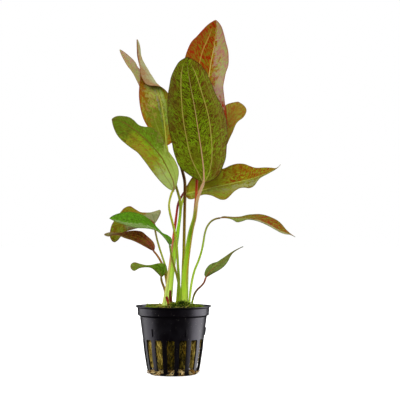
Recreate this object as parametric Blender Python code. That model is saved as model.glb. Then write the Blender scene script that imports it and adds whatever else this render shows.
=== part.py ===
"""Aquatic sword plant in a slotted plastic net pot.

The pot stands on z = 0 with its axis on the world Z axis, and the viewer of the plant
looks along +Y.  A rockwool plug fills the pot, a crown of rootstock sits in the plug, and
thirteen leaves rise from the crown.  Each leaf is a stalk swept along a curve and a blade
lofted through lines that run from its foot to its tip: one edge, the midrib, the other
edge.  All tables are in millimetres; the meshes are made in metres.
"""
import math
from dataclasses import dataclass

import bmesh
import bpy
import numpy as np

MM = 0.001
GAP = 0.3                       # clearance between neighbouring solids

# Pot, as radius and height
LIP_RADIUS = 27.5
POT_HEIGHT = 49.2
SLOT_COUNT = 15
SLOT_ANGLE = 15.0               # degrees of arc open in each pitch of 24
RIB_PHASE = 7.8                 # degrees from straight ahead to the first rib
POT_OUTER = (
    (27.5, 48.7), (26.0, 48.0), (25.7, 42.6), (24.2, 41.8), (22.1, 25.8), (21.35, 18.0),
    (19.4, 5.6), (18.7, 2.8), (17.7, 1.2), (16.6, 0.0), (14.8, 0.0), (8.0, 0.0), (0.0, 0.0),
)
POT_INNER = (
    (27.5, 49.2), (25.0, 49.2), (24.6, 42.4), (23.1, 41.4), (21.0, 25.8), (20.25, 18.0),
    (18.3, 5.8), (17.7, 3.4), (16.9, 2.1), (16.2, 1.2), (14.8, 1.2), (8.0, 1.2), (0.0, 1.2),
)
WALL_SLOT_ROWS = (4, 5, 6, 7)   # rows of the profile that are open between the ribs
FLOOR_SLOT_ROWS = (10,)
NUB_ANGLES = (-40.0, 25.0, 93.0, 165.0, -112.0)
NUB_BOTTOM = 27.5
NUB_TOP = 33.9
NUB_WIDTH = 0.9
NUB_RISE = 0.7

# Rockwool plug
PLUG_PROFILE = ((17.1, 5.2), (20.3, 25.0), (22.3, 41.0), (23.2, 43.4), (23.4, 46.6))
PLUG_SIDES = 36

# Rootstock crown, an oval lump let into the plug
CROWN_CENTRE = (2.6, 0.6)
CROWN_HALF = (12.8, 7.6)
CROWN_BOTTOM = 40.5
CROWN_TOP = 47.8

# Moss over the plug, a ring round the crown
MOSS_RADIUS = 24.1
MOSS_BOTTOM = 46.9
MOSS_LEVEL = 48.7

# Roots under the plug, with lobes that come out through some of the slots
ROOT_RADIUS = 16.0
ROOT_TOP = 4.8
ROOT_BOTTOM = 1.6
ROOT_LOBES = {0: 21.6, 1: 21.4, 2: 20.3, 4: 20.6, 6: 21.5, 8: 20.2, 9: 22.0, 11: 20.4,
              12: 21.8, 13: 24.4, 14: 20.2}

BLADE_THICKNESS = 0.5


@dataclass(frozen=True)
class Leaf:
    """One leaf: its stalk as (x, y, z, width, depth) and its blade's lines as (x, y, z)."""

    name: str
    colour: tuple
    stalk_colour: tuple
    stalk: tuple
    lines: tuple
    rows: int = 10
    columns: int = 5


LEAVES = (
    Leaf(
        "front", (0.10, 0.13, 0.02), (0.33, 0.40, 0.09),
        (
            (7.8, -3.5, 48.3, 4.9, 2.4), (7.8, -3.9, 60, 4.3, 2.2), (8.3, -4.5, 72, 4.0, 2.1),
            (9.8, -5.3, 84, 3.6, 2.0), (11.2, -6.1, 95, 3.5, 1.9), (13.0, -7.2, 104.5, 2.9, 1.8),
            (15.2, -8.4, 112.5, 2.6, 1.7), (16.4, -9.4, 119.5, 2.0, 1.6), (17.3, -10.3, 125.5, 1.8, 1.5),
            (19.3, -11.3, 131.5, 1.7, 1.4), (21.6, -12.2, 137.0, 1.6, 1.3),
        ),
        (
            (
                (21.2, -12.2, 137.6), (15, -10.5, 141), (9, -10, 144.8), (4.3, -10, 149.5),
                (1.3, -10, 156.5), (-0.7, -10, 165), (-2.7, -10.5, 174.5), (-4.0, -11, 184.5),
                (-4.1, -11.5, 195), (-3.1, -12, 205.5), (-1.3, -13, 213.5), (1.2, -14, 219.5),
                (4.6, -15.5, 224), (9.3, -17, 226.7),
            ),
            (
                (21.7, -12.6, 137.3), (21.7, -14, 145.5), (20.1, -16.5, 158.5), (18.3, -18, 170.5),
                (16.5, -19, 182), (14.7, -19.5, 193), (12.5, -19.3, 205), (10.6, -18.5, 216.5),
                (9.8, -17.2, 226.8),
            ),
            (
                (22.2, -12.3, 137.6), (27, -11, 138.6), (31.7, -10, 141.8), (35, -9.5, 147.5),
                (37.4, -9, 154.5), (38.5, -9, 163.5), (38.7, -9.5, 174.5), (38, -10, 182.5),
                (36, -11, 189.5), (33, -12, 196), (29.8, -13, 202.5), (27, -14, 209.5),
                (24.3, -15, 215.5), (20.8, -16, 220.3), (16, -17, 224.3), (10.3, -17.2, 226.9),
            ),
        ),
        rows=12, columns=6,
    ),
    Leaf(
        "tall", (0.32, 0.10, 0.03), (0.36, 0.10, 0.03),
        (
            (9.2, 2.8, 48.3, 2.8, 2.2), (9.3, 2.9, 62, 2.5, 2.0), (9.8, 3.0, 76, 2.2, 1.9),
            (11.0, 3.0, 90, 2.1, 1.8), (12.8, 3.0, 103, 2.0, 1.7), (15.2, 3.0, 115, 1.9, 1.6),
            (16.3, 3.1, 126, 1.8, 1.5), (16.8, 4.0, 138, 1.8, 1.5), (17.5, 6.3, 148, 1.8, 1.5),
            (18.4, 9.3, 156.4, 1.8, 1.4),
        ),
        (
            (
                (18.0, 9.6, 157.0), (13.5, 10, 166.3), (10, 11.8, 179.3), (7.7, 14.8, 194.3),
                (6.5, 17.5, 209.5), (6.6, 20, 221.8), (8, 22, 232), (10.2, 23.5, 238.7),
                (13, 25, 244.5), (17, 26.5, 248.7), (21, 28, 253.5), (25, 30, 257.8),
                (29.8, 31.8, 261.3),
            ),
            (
                (18.4, 9.9, 156.7), (20.3, 14, 173), (22.5, 17.8, 188.2), (24, 20.5, 203.5),
                (25.6, 23.5, 218.2), (27.7, 26.3, 231.6), (30.1, 29.3, 244.1), (31.1, 31, 252.9),
                (31.1, 32, 261.7),
            ),
            (
                (18.9, 9.6, 157.0), (26, 8.3, 160.3), (33, 8.8, 165.2), (38, 10.5, 173.2),
                (39.3, 12.3, 182.2), (38.7, 14, 190.3), (37.5, 16, 198.5), (36.8, 17.5, 205),
                (36.6, 18.5, 211.6), (38.2, 20.5, 219.3), (40.3, 22.3, 227), (40.5, 24, 234.8),
                (38.9, 26, 243.1), (37, 28, 250.5), (35.3, 29.8, 256.6), (31.6, 31.8, 261.4),
            ),
        ),
        rows=14,
    ),
    Leaf(
        "back_left", (0.22, 0.24, 0.12), (0.07, 0.03, 0.01),
        (
            (6.6, 0.6, 48.3, 2.6, 1.9), (6.6, 0.8, 60, 2.3, 1.8), (7.0, 1.1, 75, 2.0, 1.7),
            (7.5, 1.5, 90, 1.8, 1.6), (7.8, 1.9, 105, 1.8, 1.6), (8.1, 2.3, 120, 1.8, 1.6),
            (8.3, 2.8, 131, 1.9, 1.6), (8.0, 3.5, 139.5, 1.9, 1.6), (6.5, 4.6, 146, 1.8, 1.5),
            (4.4, 6, 152.5, 1.7, 1.5), (2.3, 7.3, 159, 1.6, 1.4), (0.9, 8.2, 165.3, 1.6, 1.3),
        ),
        (
            (
                (0.5, 8.2, 165.9), (-5, 8.5, 170.5), (-15, 10, 183), (-21.5, 12, 197),
                (-25.0, 14, 208), (-28.4, 16, 216), (-31.5, 17.5, 221.2), (-35.7, 19.5, 227),
                (-39.3, 21.5, 233.8), (-40.7, 22.5, 237.6),
            ),
            (
                (0.8, 8.6, 165.9), (-4.5, 10.5, 175.5), (-11.5, 12.5, 189), (-18, 15, 201.5),
                (-24.2, 17.3, 212.5), (-29.8, 19.5, 222), (-35.3, 21.3, 230.7), (-40.5, 22.6, 238.0),
            ),
            (
                (1.3, 8.2, 166.0), (0.5, 9, 177), (-4.5, 11, 190), (-10.5, 13, 202.5),
                (-17, 15.5, 213), (-23, 17.5, 221), (-26.7, 18.5, 224.3), (-28.2, 19, 227.4),
                (-30.6, 19.8, 230.4), (-33.7, 20.8, 233.3), (-36.8, 21.7, 236), (-40.2, 22.6, 238.1),
            ),
        ),
    ),
    Leaf(
        "folded", (0.33, 0.20, 0.04), (0.24, 0.28, 0.05),
        (
            (-4.0, -1.8, 48.3, 3.2, 2.2), (-3.2, -1.3, 55, 2.8, 2.0), (-2.2, -0.9, 62, 2.5, 1.9),
            (-1.4, -0.5, 70, 2.4, 1.8), (-0.4, -0.1, 79, 2.3, 1.8), (0.6, 0.3, 87.5, 2.2, 1.8),
            (1.6, 0.7, 95, 2.1, 1.7), (2.8, 1.1, 101.5, 2.0, 1.6), (4.2, 1.5, 110, 1.8, 1.6),
            (5.0, 1.8, 118, 1.7, 1.5), (4.7, 1.8, 124.5, 1.6, 1.5), (3.4, 1.6, 130, 1.5, 1.4),
            (1.8, 1.4, 135.5, 1.5, 1.4), (-1.3, 1.6, 148, 1.5, 1.4), (-4.0, 2.5, 158, 1.6, 1.4),
            (-5.3, 3.2, 164.8, 1.7, 1.3),
        ),
        (
            (
                (-5.9, 3.3, 165.3), (-11, 2.5, 169), (-16, 2, 174.5), (-19.8, 1.8, 180.3),
                (-22.2, 1.7, 185.3), (-24.2, 1.8, 192.7), (-25.2, 2, 201.5), (-24.9, 2.6, 209),
                (-24.3, 3.4, 215.5), (-24.5, 4, 221), (-25.6, 4.2, 226), (-26.6, 4.2, 231),
                (-26.9, 4, 236.5), (-27.0, 4, 242.5),
            ),
            (
                (-5.3, 3.7, 165.1), (-6.1, 5, 173.5), (-7, 6, 181), (-8.1, 7, 189),
                (-9.6, 8, 197), (-12.2, 9, 205.5), (-16.2, 9.6, 213), (-20.3, 9.2, 220),
                (-23.5, 8, 228), (-25.3, 6.2, 236), (-26.8, 4.4, 242.8),
            ),
            (
                (-4.9, 3.5, 165.3), (-3.2, 5, 174), (-2.7, 6, 184), (-3.7, 6.8, 194),
                (-6.3, 7.3, 202.5), (-9.8, 7, 208.5), (-13.2, 6.6, 211.8), (-16.5, 6.6, 216.5),
                (-19.8, 6.4, 222.4), (-22.4, 6, 227), (-24.2, 5.4, 231.5), (-24.5, 4.9, 236),
                (-25.1, 4.5, 239.8), (-26.4, 4.1, 242.7),
            ),
            (
                (-4.6, 3.2, 165.4), (-1.5, 3, 167.5), (0.8, 4, 177), (0.6, 5, 189),
                (-1.8, 5, 198.5), (-5, 4.3, 204.6), (-9, 2.8, 208), (-13, 1.5, 208.4),
                (-17, 0.6, 208.6), (-20, 0.2, 209.9), (-22.2, 0.2, 212.6), (-23.8, 0.7, 216.3),
                (-24.2, 1.5, 220.3), (-25.3, 2.2, 226), (-26.2, 2.8, 233), (-26.6, 3.5, 242.5),
            ),
        ),
        rows=16, columns=9,
    ),
    Leaf(
        "left", (0.16, 0.24, 0.03), (0.28, 0.30, 0.06),
        (
            (2.6, -1.8, 48.3, 2.4, 2.0), (3.4, -2.0, 58, 2.1, 1.8), (3.9, -2.4, 68, 1.8, 1.6),
            (3.3, -3.0, 78, 1.5, 1.4), (2.8, -3.5, 87, 1.5, 1.4), (2.0, -4, 95.5, 1.5, 1.4),
            (0.7, -4.6, 103.5, 1.4, 1.3), (-0.9, -5.1, 110, 1.3, 1.3), (-2.5, -5.7, 116.5, 1.3, 1.2),
            (-3.1, -6.2, 121.5, 1.2, 1.2), (-2.3, -6.7, 126.5, 1.2, 1.2), (-0.5, -7.1, 131.6, 1.3, 1.2),
        ),
        (
            (
                (0.9, -7.3, 132.4), (2.2, -7, 135.5), (3.4, -6.8, 140), (3.9, -6.8, 145),
                (3.2, -7, 149.5), (1.2, -7.2, 154), (-1.5, -7.5, 157.7), (-4.3, -8, 161.5),
                (-6.3, -8, 167), (-9, -8, 172), (-12.3, -8, 175.7), (-16, -8, 177.7),
                (-20.5, -8.5, 177.9), (-24.5, -9.5, 179.2), (-28.3, -10.5, 182.4), (-32, -11.5, 184.7),
                (-36.3, -13, 185.4), (-40.3, -15, 184.9), (-43.2, -16.8, 183.2),
            ),
            (
                (0.4, -7.6, 132.2), (0.2, -9, 137.5), (-2, -10.3, 143.2), (-5, -11.5, 149.5),
                (-9, -12.5, 156.5), (-15, -13.3, 163.5), (-22, -14, 170.5), (-30, -14.8, 177),
                (-37, -15.8, 181), (-43.5, -17, 182.7),
            ),
            (
                (-0.1, -7.6, 132.0), (-3, -9.5, 133), (-7, -11, 136.2), (-11, -12.3, 140.5),
                (-15, -13.5, 145.5), (-19, -14.8, 151), (-22, -15.8, 155), (-25.3, -16.5, 158.8),
                (-29.3, -17.2, 161.7), (-33.3, -17.8, 164.7), (-37.2, -18, 168.2), (-40.2, -18, 172),
                (-42.4, -17.7, 177), (-43.6, -17.2, 182.3),
            ),
        ),
        rows=14,
    ),
    Leaf(
        "right", (0.25, 0.15, 0.03), (0.35, 0.38, 0.06),
        (
            (-2.6, 1.7, 48.3, 2.6, 2.0), (-1.9, 2.0, 58, 2.2, 1.8), (-0.9, 2.5, 69, 1.9, 1.6),
            (0.5, 3.1, 80, 1.7, 1.5), (1.9, 3.6, 90, 1.6, 1.5), (3.2, 4.0, 100, 1.5, 1.4),
            (4.3, 4.4, 110, 1.4, 1.4), (5.2, 4.9, 118.5, 1.3, 1.3), (6.5, 6, 125, 1.3, 1.3),
            (8.1, 6.9, 128.9, 1.3, 1.3),
        ),
        (
            (
                (8.8, 7.8, 130.3), (9.6, 9, 135), (13, 10.5, 141), (20, 12.5, 146.3),
                (28, 14, 148.3), (36, 15.5, 149), (42, 16.5, 151.5), (47, 17.3, 152.8),
                (52, 18, 152.6), (56, 18.3, 151), (60, 18.2, 149.9), (66, 17.5, 149.9),
                (72, 16, 149.7), (75.4, 14.8, 149.4), (78.4, 14.1, 152.1),
            ),
            (
                (9.0, 7.5, 129.9), (15, 8.5, 131.6), (22, 9.5, 133.2), (30, 10.5, 135.2),
                (38, 11.4, 137.1), (46, 12.3, 138.9), (54, 13.1, 140.7), (60, 13.6, 142.4),
                (66, 14, 144.6), (71, 14.1, 147), (75.5, 14.1, 149.1), (78.4, 13.8, 151.9),
            ),
            (
                (8.8, 7.2, 129.5), (10.5, 6.3, 126.6), (14, 5.9, 126.4), (18, 5.8, 128.2),
                (22.5, 5.8, 129.7), (27, 5.6, 129.1), (31, 5.5, 127.2), (34.5, 5.5, 125.9),
                (38, 5.7, 126.2), (41.5, 6.2, 128.9), (44.5, 6.8, 132.2), (48, 7.5, 134.3),
                (51.5, 8.1, 134.6), (55, 8.7, 134.3), (58, 9.3, 135.6), (60.5, 10, 138.4),
                (62.5, 10.9, 141.6), (65.5, 11.8, 143.7), (70, 12.8, 145.7), (74.5, 13.4, 148.1),
                (78.4, 13.5, 151.7),
            ),
        ),
        rows=18,
    ),
    Leaf(
        "back_right", (0.26, 0.20, 0.05), (0.30, 0.05, 0.03),
        (
            (-7.0, 0.3, 48.3, 3.0, 2.2), (-5.9, 0.5, 55, 2.6, 2.0), (-4.7, 0.8, 62.5, 2.2, 1.8),
            (-3.7, 1.1, 69.5, 1.9, 1.6), (-2.7, 1.4, 77, 1.7, 1.5), (-1.8, 1.8, 84.5, 1.6, 1.5),
            (-0.9, 2.2, 92, 1.5, 1.4), (0, 2.7, 99.5, 1.5, 1.4), (1.1, 3.3, 107, 1.5, 1.4),
            (2.1, 4.1, 115, 1.4, 1.4), (3.1, 5.4, 122, 1.4, 1.3), (4.8, 7.5, 126.6, 1.3, 1.3),
            (7.4, 10.2, 131, 1.3, 1.3), (10.4, 13, 136.2, 1.3, 1.3), (13.6, 15.6, 141.6, 1.3, 1.3),
            (20, 19, 150, 1.3, 1.2), (27, 21.3, 157, 1.3, 1.2), (32.4, 22.3, 161.8, 1.3, 1.2),
        ),
        (
            (
                (32.4, 22.5, 162.6), (30.5, 23.5, 172), (31.5, 25.5, 183), (34.5, 28, 192.5),
                (38.8, 30, 197.6), (43, 31.5, 199.3), (47.9, 32.5, 200.2),
            ),
            (
                (32.9, 22.8, 162.3), (35.5, 25, 171.5), (39.3, 27.7, 181.5), (43.5, 30, 190.3),
                (48.4, 32.3, 199.9),
            ),
            (
                (33.4, 22.5, 162.6), (38.3, 22.5, 166), (41.2, 23.3, 171.5), (43.8, 24.5, 177.5),
                (45.8, 25.5, 182), (48.2, 26.5, 185.2), (51.3, 27.8, 187.8), (53.4, 29, 190.7),
                (54.1, 30.2, 193.7), (52.6, 31.3, 196.8), (48.9, 32.2, 199.6),
            ),
        ),
        rows=11,
    ),
    Leaf(
        "arching", (0.20, 0.16, 0.04), (0.36, 0.42, 0.13),
        (
            (11.4, -2.8, 48.3, 1.5, 1.4), (12, -3.3, 57, 1.4, 1.3), (13.2, -3.9, 66, 1.3, 1.2),
            (15.2, -4.5, 74.5, 1.2, 1.2), (18.2, -5.1, 82, 1.2, 1.1), (20.4, -5.6, 89, 1.1, 1.1),
            (21.6, -6, 95, 1.1, 1.1), (22.6, -6.3, 101, 1.0, 1.0), (24.2, -6.5, 106, 1.0, 1.0),
            (27.2, -6.6, 110, 0.9, 0.9), (30.5, -6.6, 111.8, 0.9, 0.9), (33.2, -6.6, 112.4, 0.9, 0.9),
        ),
        (
            (
                (33.7, -6.2, 112.6), (36, -4.5, 113.7), (39.5, -3.5, 113.4), (45, -2, 113.3),
                (50, -0.8, 113.8), (55, 0.3, 115), (60, 1, 115.4), (65, 1.2, 114.8),
                (70, 0.8, 113.5), (74.5, -0.2, 111.1), (78.5, -1.8, 107.8), (81.8, -3.8, 103.6),
                (84.5, -5.6, 101), (87.4, -7, 99.1),
            ),
            (
                (33.8, -6.6, 112.4), (38, -6.6, 112.6), (44, -6.6, 112.5), (50, -6.6, 112.3),
                (56, -6.6, 111.9), (62, -6.8, 110.8), (67, -7, 108.8), (72, -7.2, 106.3),
                (77, -7.4, 103.4), (81, -7.4, 101.8), (84.5, -7.3, 100.5), (87.5, -7.2, 98.8),
            ),
            (
                (33.8, -7, 112.3), (38, -8, 112.3), (42, -9.2, 111.3), (45.7, -10, 109.3),
                (49, -10.6, 110), (53, -11.3, 111.2), (58, -12, 110.9), (63, -12.3, 109.3),
                (68, -12.2, 107), (73, -11.8, 104.2), (77, -11, 101.8), (80, -10, 100.9),
                (83.5, -8.6, 100.4), (87.4, -7.4, 98.7),
            ),
        ),
        rows=14, columns=4,
    ),
    Leaf(
        "low_right", (0.16, 0.20, 0.04), (0.18, 0.08, 0.03),
        (
            (13.0, -4.5, 48.3, 1.3, 1.2), (13.9, -5, 53.5, 1.2, 1.1), (15.3, -5.6, 58, 1.1, 1.0),
            (17.5, -6.3, 61.3, 1.0, 1.0), (20.2, -7, 63.8, 0.9, 0.9), (22.3, -7.5, 66.6, 0.9, 0.9),
            (23.2, -7.7, 69.4, 0.9, 0.9),
        ),
        (
            (
                (23.2, -7.7, 70.0), (22.3, -6.8, 71.8), (22.8, -6.4, 74.2), (24.2, -6.3, 76.7),
                (26.2, -6.6, 79), (28.8, -7.3, 80.4), (31.5, -8.2, 81), (35, -9.2, 83.3),
                (38, -10, 85.5), (41, -10.8, 87.6), (44.5, -11.7, 89.7), (49.8, -12.9, 92.2),
            ),
            (
                (23.5, -7.9, 69.9), (26, -9.4, 73.6), (29, -10.3, 76.6), (32, -10.8, 79.3),
                (36, -11.4, 82.6), (40, -11.9, 85.8), (44, -12.4, 88.6), (50, -13, 92),
            ),
            (
                (23.9, -7.8, 69.9), (26.3, -9, 71.3), (29, -10.2, 72.9), (32, -11, 74.6),
                (35, -11.7, 76.6), (37.5, -12.2, 79), (39.3, -12.4, 81.6), (40.8, -12.5, 84.5),
                (42.8, -12.6, 87.4), (45.5, -12.8, 89.5), (50.1, -13.1, 91.7),
            ),
        ),
        columns=4,
    ),
    Leaf(
        "low_green", (0.12, 0.28, 0.03), (0.20, 0.20, 0.05),
        (
            (4.4, -5.2, 48.3, 1.7, 1.5), (4.9, -5.4, 56, 1.6, 1.4), (4.3, -5.7, 63, 1.5, 1.3),
            (2.8, -6, 70, 1.3, 1.2), (1.2, -6.3, 76, 1.2, 1.1), (-0.3, -6.7, 81.5, 1.1, 1.1),
            (-1.6, -7.1, 87, 1.1, 1.0), (-2.4, -7.5, 92.4, 1.1, 1.0),
        ),
        (
            (
                (-2.0, -7.6, 93.0), (-0.9, -7.2, 95.3), (-1.4, -6.8, 98), (-4.3, -6.5, 100.3),
                (-7.5, -6.5, 101.5), (-10, -6.6, 104), (-13.5, -6.9, 108), (-18, -7.5, 112.1),
                (-22.5, -8.4, 114.8), (-28, -9.8, 116.5), (-34, -11.8, 116.7), (-39, -14, 115.6),
                (-43, -16.2, 113.9), (-45, -17.8, 112.2),
            ),
            (
                (-2.4, -8, 92.9), (-3.7, -9, 96.3), (-6.5, -10, 99.6), (-10.5, -11, 103.2),
                (-15.5, -12, 106.3), (-21, -13, 108.2), (-27, -14.2, 109.3), (-33, -15.4, 110),
                (-39.5, -16.7, 110.9), (-45, -18, 112),
            ),
            (
                (-2.8, -8.2, 92.9), (-3.8, -9.6, 94.5), (-5.5, -10.9, 97), (-8.5, -12.2, 100.6),
                (-12, -13.4, 103.2), (-16, -14.3, 104.5), (-20.5, -15, 105), (-25, -15.8, 105.1),
                (-30, -16.7, 106.1), (-35, -17.5, 107.7), (-40, -18.1, 109.5), (-45, -18.2, 111.8),
            ),
        ),
        rows=12, columns=4,
    ),
    Leaf(
        "low_olive", (0.22, 0.20, 0.04), (0.22, 0.32, 0.06),
        (
            (-2.0, 5.2, 48.3, 1.7, 1.5), (-2.4, 4.9, 56, 1.5, 1.4), (-3.3, 4.5, 64, 1.4, 1.3),
            (-4.6, 4.3, 71.5, 1.3, 1.2), (-6.3, 4.4, 78.5, 1.2, 1.2), (-8.4, 4.8, 85, 1.1, 1.1),
            (-10.4, 5.2, 91, 1.1, 1.1), (-12.2, 5.6, 97.5, 1.0, 1.0), (-13.5, 6, 104, 1.0, 1.0),
            (-13.9, 6.3, 107.6, 1.0, 1.0),
        ),
        (
            (
                (-13.8, 6.6, 108.4), (-11, 6.2, 112.5), (-9.3, 6.4, 117.2), (-10.2, 7.2, 118.6),
                (-13.5, 8, 116.9), (-18, 9, 116.1), (-24, 10.3, 116.9), (-28.5, 11.2, 119.3),
                (-32, 11.6, 121.2), (-36, 11.4, 120), (-39.8, 10.8, 116), (-43, 10, 111.5),
                (-45.5, 9, 107), (-46.5, 8, 102.5), (-46.3, 7.3, 98), (-44.3, 7, 95.2),
            ),
            (
                (-14.1, 6.4, 108.2), (-17, 6.5, 111), (-22, 7, 113.6), (-28, 7.6, 114.6),
                (-34, 7.8, 113), (-39, 7.6, 108.6), (-42, 7.3, 102.5), (-43.7, 7, 95),
            ),
            (
                (-14.3, 6.2, 108.1), (-18, 5.2, 107), (-23, 4.6, 105.7), (-28, 4.3, 104.6),
                (-33, 4.3, 103.2), (-36.7, 4.6, 101.5), (-38.5, 5.2, 99), (-40.5, 6, 96.3),
                (-43.1, 6.8, 94.8),
            ),
        ),
        rows=16,
    ),
    Leaf(
        "low_red", (0.22, 0.09, 0.03), (0.24, 0.13, 0.04),
        (
            (-4.2, 6.2, 48.3, 1.6, 1.4), (-4.4, 6.0, 56, 1.4, 1.3), (-4.9, 5.2, 63, 1.3, 1.2),
            (-5.6, 3.6, 69, 1.3, 1.2), (-6.6, 2.2, 74.5, 1.3, 1.2), (-8.2, 0.9, 79, 1.2, 1.2),
            (-10.2, -0.2, 83, 1.2, 1.1), (-12.3, -1, 86.2, 1.1, 1.1), (-13.9, -1.5, 88.1, 1.1, 1.1),
        ),
        (
            (
                (-14.0, -1.9, 88.9), (-13.3, -1.6, 91.5), (-14.2, -1.5, 94.8), (-16.5, -1.7, 97.4),
                (-19.3, -2, 99.7), (-22.5, -2.6, 102.5), (-26, -3.4, 103.4), (-31, -4.5, 103.2),
                (-36, -5.5, 102.2), (-41, -6.5, 101.9), (-45.5, -7.3, 102.2), (-49.3, -8, 101),
            ),
            (
                (-14.3, -2.1, 88.7), (-17.5, -4, 92.5), (-21.5, -5, 96), (-26.5, -5.9, 98.4),
                (-32.5, -6.8, 99.9), (-39, -7.6, 100.9), (-44, -8, 100.7), (-49.5, -8.3, 100.6),
            ),
            (
                (-14.7, -2.2, 88.6), (-17.5, -4.6, 90.1), (-21, -6, 92.1), (-25, -7, 94.3),
                (-30, -8, 96.5), (-35, -8.7, 98.1), (-39.5, -9, 99.9), (-43, -8.8, 99.9),
                (-46.5, -8.6, 99.1), (-49.3, -8.4, 100.1),
            ),
        ),
        rows=11, columns=4,
    ),
    Leaf(
        "low_waisted", (0.12, 0.24, 0.03), (0.22, 0.20, 0.05),
        (
            (-5.9, 3.6, 48.3, 1.7, 1.5), (-5.8, 3.5, 54, 1.6, 1.4), (-6.2, 3.1, 59.5, 1.4, 1.3),
            (-7.2, 2.3, 63, 1.3, 1.3), (-8.4, 1.3, 66.2, 1.3, 1.2), (-8.9, 0.4, 69.1, 1.2, 1.1),
        ),
        (
            (
                (-8.6, 0.2, 69.7), (-6.4, -0.3, 71.5), (-4.9, -0.8, 74.5), (-4.7, -1.2, 77),
                (-5.9, -1.4, 79.3), (-8.5, -1.6, 79.9), (-12, -2, 79.5), (-16, -2.6, 78.7),
                (-20, -3.3, 78.6), (-24, -4, 79.5), (-28, -4.8, 80.6), (-30.4, -5.5, 79.3),
            ),
            (
                (-8.9, 0.1, 69.6), (-9.2, -1.2, 73.2), (-11.5, -2.3, 76.5), (-15.5, -3.2, 77.7),
                (-20, -4, 77.9), (-25, -4.8, 78), (-30.8, -5.7, 77.8),
            ),
            (
                (-9.2, 0, 69.6), (-10.6, -0.5, 71.5), (-12.8, -1.5, 73.8), (-15, -2.5, 75.8),
                (-17.5, -3.2, 76.8), (-21, -3.9, 76.9), (-24.5, -4.6, 76.2), (-28.3, -5.3, 74.4),
                (-30.6, -5.8, 76.5),
            ),
        ),
        rows=12, columns=4,
    ),
)

STUBS = (
    ("stub_tall", ((-0.6, -4.2, 48.3, 1.5, 1.4), (-1.3, -4.4, 52, 1.5, 1.4),
                   (-2.2, -4.6, 55.5, 1.4, 1.3), (-2.1, -4.7, 60.4, 1.0, 1.0))),
    ("stub_short", ((-2.9, -4.7, 48.3, 1.5, 1.4), (-3.5, -4.9, 51.5, 1.5, 1.4),
                    (-4.3, -5.1, 54, 1.5, 1.4), (-5.0, -5.2, 56, 1.3, 1.2))),
)


def hermite(knots, values, where):
    """Read a smooth curve through values, which stand at knots, at the places in where."""
    slopes = np.gradient(values, knots, axis=0, edge_order=2 if len(knots) > 2 else 1)
    cell = np.clip(np.searchsorted(knots, where, side="right") - 1, 0, len(knots) - 2)
    length = (knots[cell + 1] - knots[cell]).reshape((-1,) + (1,) * (values.ndim - 1))
    t = ((where - knots[cell]) / (knots[cell + 1] - knots[cell])).reshape(length.shape)
    return (
        (1 + 2 * t) * (1 - t) ** 2 * values[cell]
        + t * (1 - t) ** 2 * length * slopes[cell]
        + t ** 2 * (3 - 2 * t) * values[cell + 1]
        + t ** 2 * (t - 1) * length * slopes[cell + 1]
    )


def smooth_curve(points, count, crowding=0.0):
    """Space count points along a smooth curve through the points of a table.

    crowding, from 0 to 1, draws the points toward the curve's two ends.
    """
    table = np.array(points, dtype=float)
    chord = np.linalg.norm(np.diff(table[:, :3], axis=0), axis=1)
    knots = np.concatenate([[0.0], np.cumsum(np.sqrt(chord))])
    fine = np.linspace(0.0, knots[-1], 30 * len(table))
    dense = hermite(knots, table, fine)
    run = np.concatenate([[0.0], np.cumsum(np.linalg.norm(np.diff(dense[:, :3], axis=0), axis=1))])
    share = np.linspace(0.0, 1.0, count)
    share = (1 - crowding) * share + crowding * (0.5 - 0.5 * np.cos(math.pi * share))
    wanted = np.interp(share * run[-1], run, fine)
    return hermite(knots, table, wanted)


def unit(vectors):
    """Scale each vector to length one."""
    return vectors / np.linalg.norm(vectors, axis=-1, keepdims=True)


def make_material(name, colour, roughness, metallic=0.0):
    """Make a plain Principled material."""
    material = bpy.data.materials.new(name)
    material.use_nodes = True
    shader = material.node_tree.nodes["Principled BSDF"]
    shader.inputs["Base Color"].default_value = (*colour, 1.0)
    shader.inputs["Roughness"].default_value = roughness
    shader.inputs["Metallic"].default_value = metallic
    return material


def make_object(name, vertices, faces, material):
    """Make a mesh object from millimetre vertices, merge its poles and turn its faces out."""
    mesh = bpy.data.meshes.new(name)
    mesh.from_pydata((np.asarray(vertices) * MM).tolist(), [], faces)
    body = bmesh.new()
    body.from_mesh(mesh)
    bmesh.ops.remove_doubles(body, verts=body.verts, dist=1e-6)
    bmesh.ops.delete(body, geom=[v for v in body.verts if not v.link_faces], context="VERTS")
    bmesh.ops.recalc_face_normals(body, faces=body.faces)
    body.to_mesh(mesh)
    body.free()
    mesh.materials.append(material)
    mesh.shade_smooth()
    mesh.set_sharp_from_angle(angle=math.radians(40))
    made = bpy.data.objects.new(name, mesh)
    bpy.context.scene.collection.objects.link(made)
    return made


def cell_shell(first, second, filled):
    """Close the space between two skins over the cells that hold material.

    first and second are grids of points, rows by columns, that wrap round in columns;
    filled says for each cell of the grid whether it is solid.
    """
    rows, columns = first.shape[:2]
    vertices = np.concatenate([first.reshape(-1, 3), second.reshape(-1, 3)])
    offset = rows * columns
    faces = []
    for r in range(rows - 1):
        for c in range(columns):
            if not filled[r, c]:
                continue
            d = (c + 1) % columns
            corner = (r * columns + c, r * columns + d, (r + 1) * columns + d, (r + 1) * columns + c)
            faces.append(corner)
            faces.append(tuple(v + offset for v in reversed(corner)))
            sides = (
                (r == 0 or not filled[r - 1, c], corner[0], corner[1]),
                (not filled[r, d], corner[1], corner[2]),
                (r == rows - 2 or not filled[r + 1, c], corner[2], corner[3]),
                (not filled[r, c - 1], corner[3], corner[0]),
            )
            for is_open, a, b in sides:
                if is_open:
                    faces.append((b, a, a + offset, b + offset))
    return vertices, faces


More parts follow.
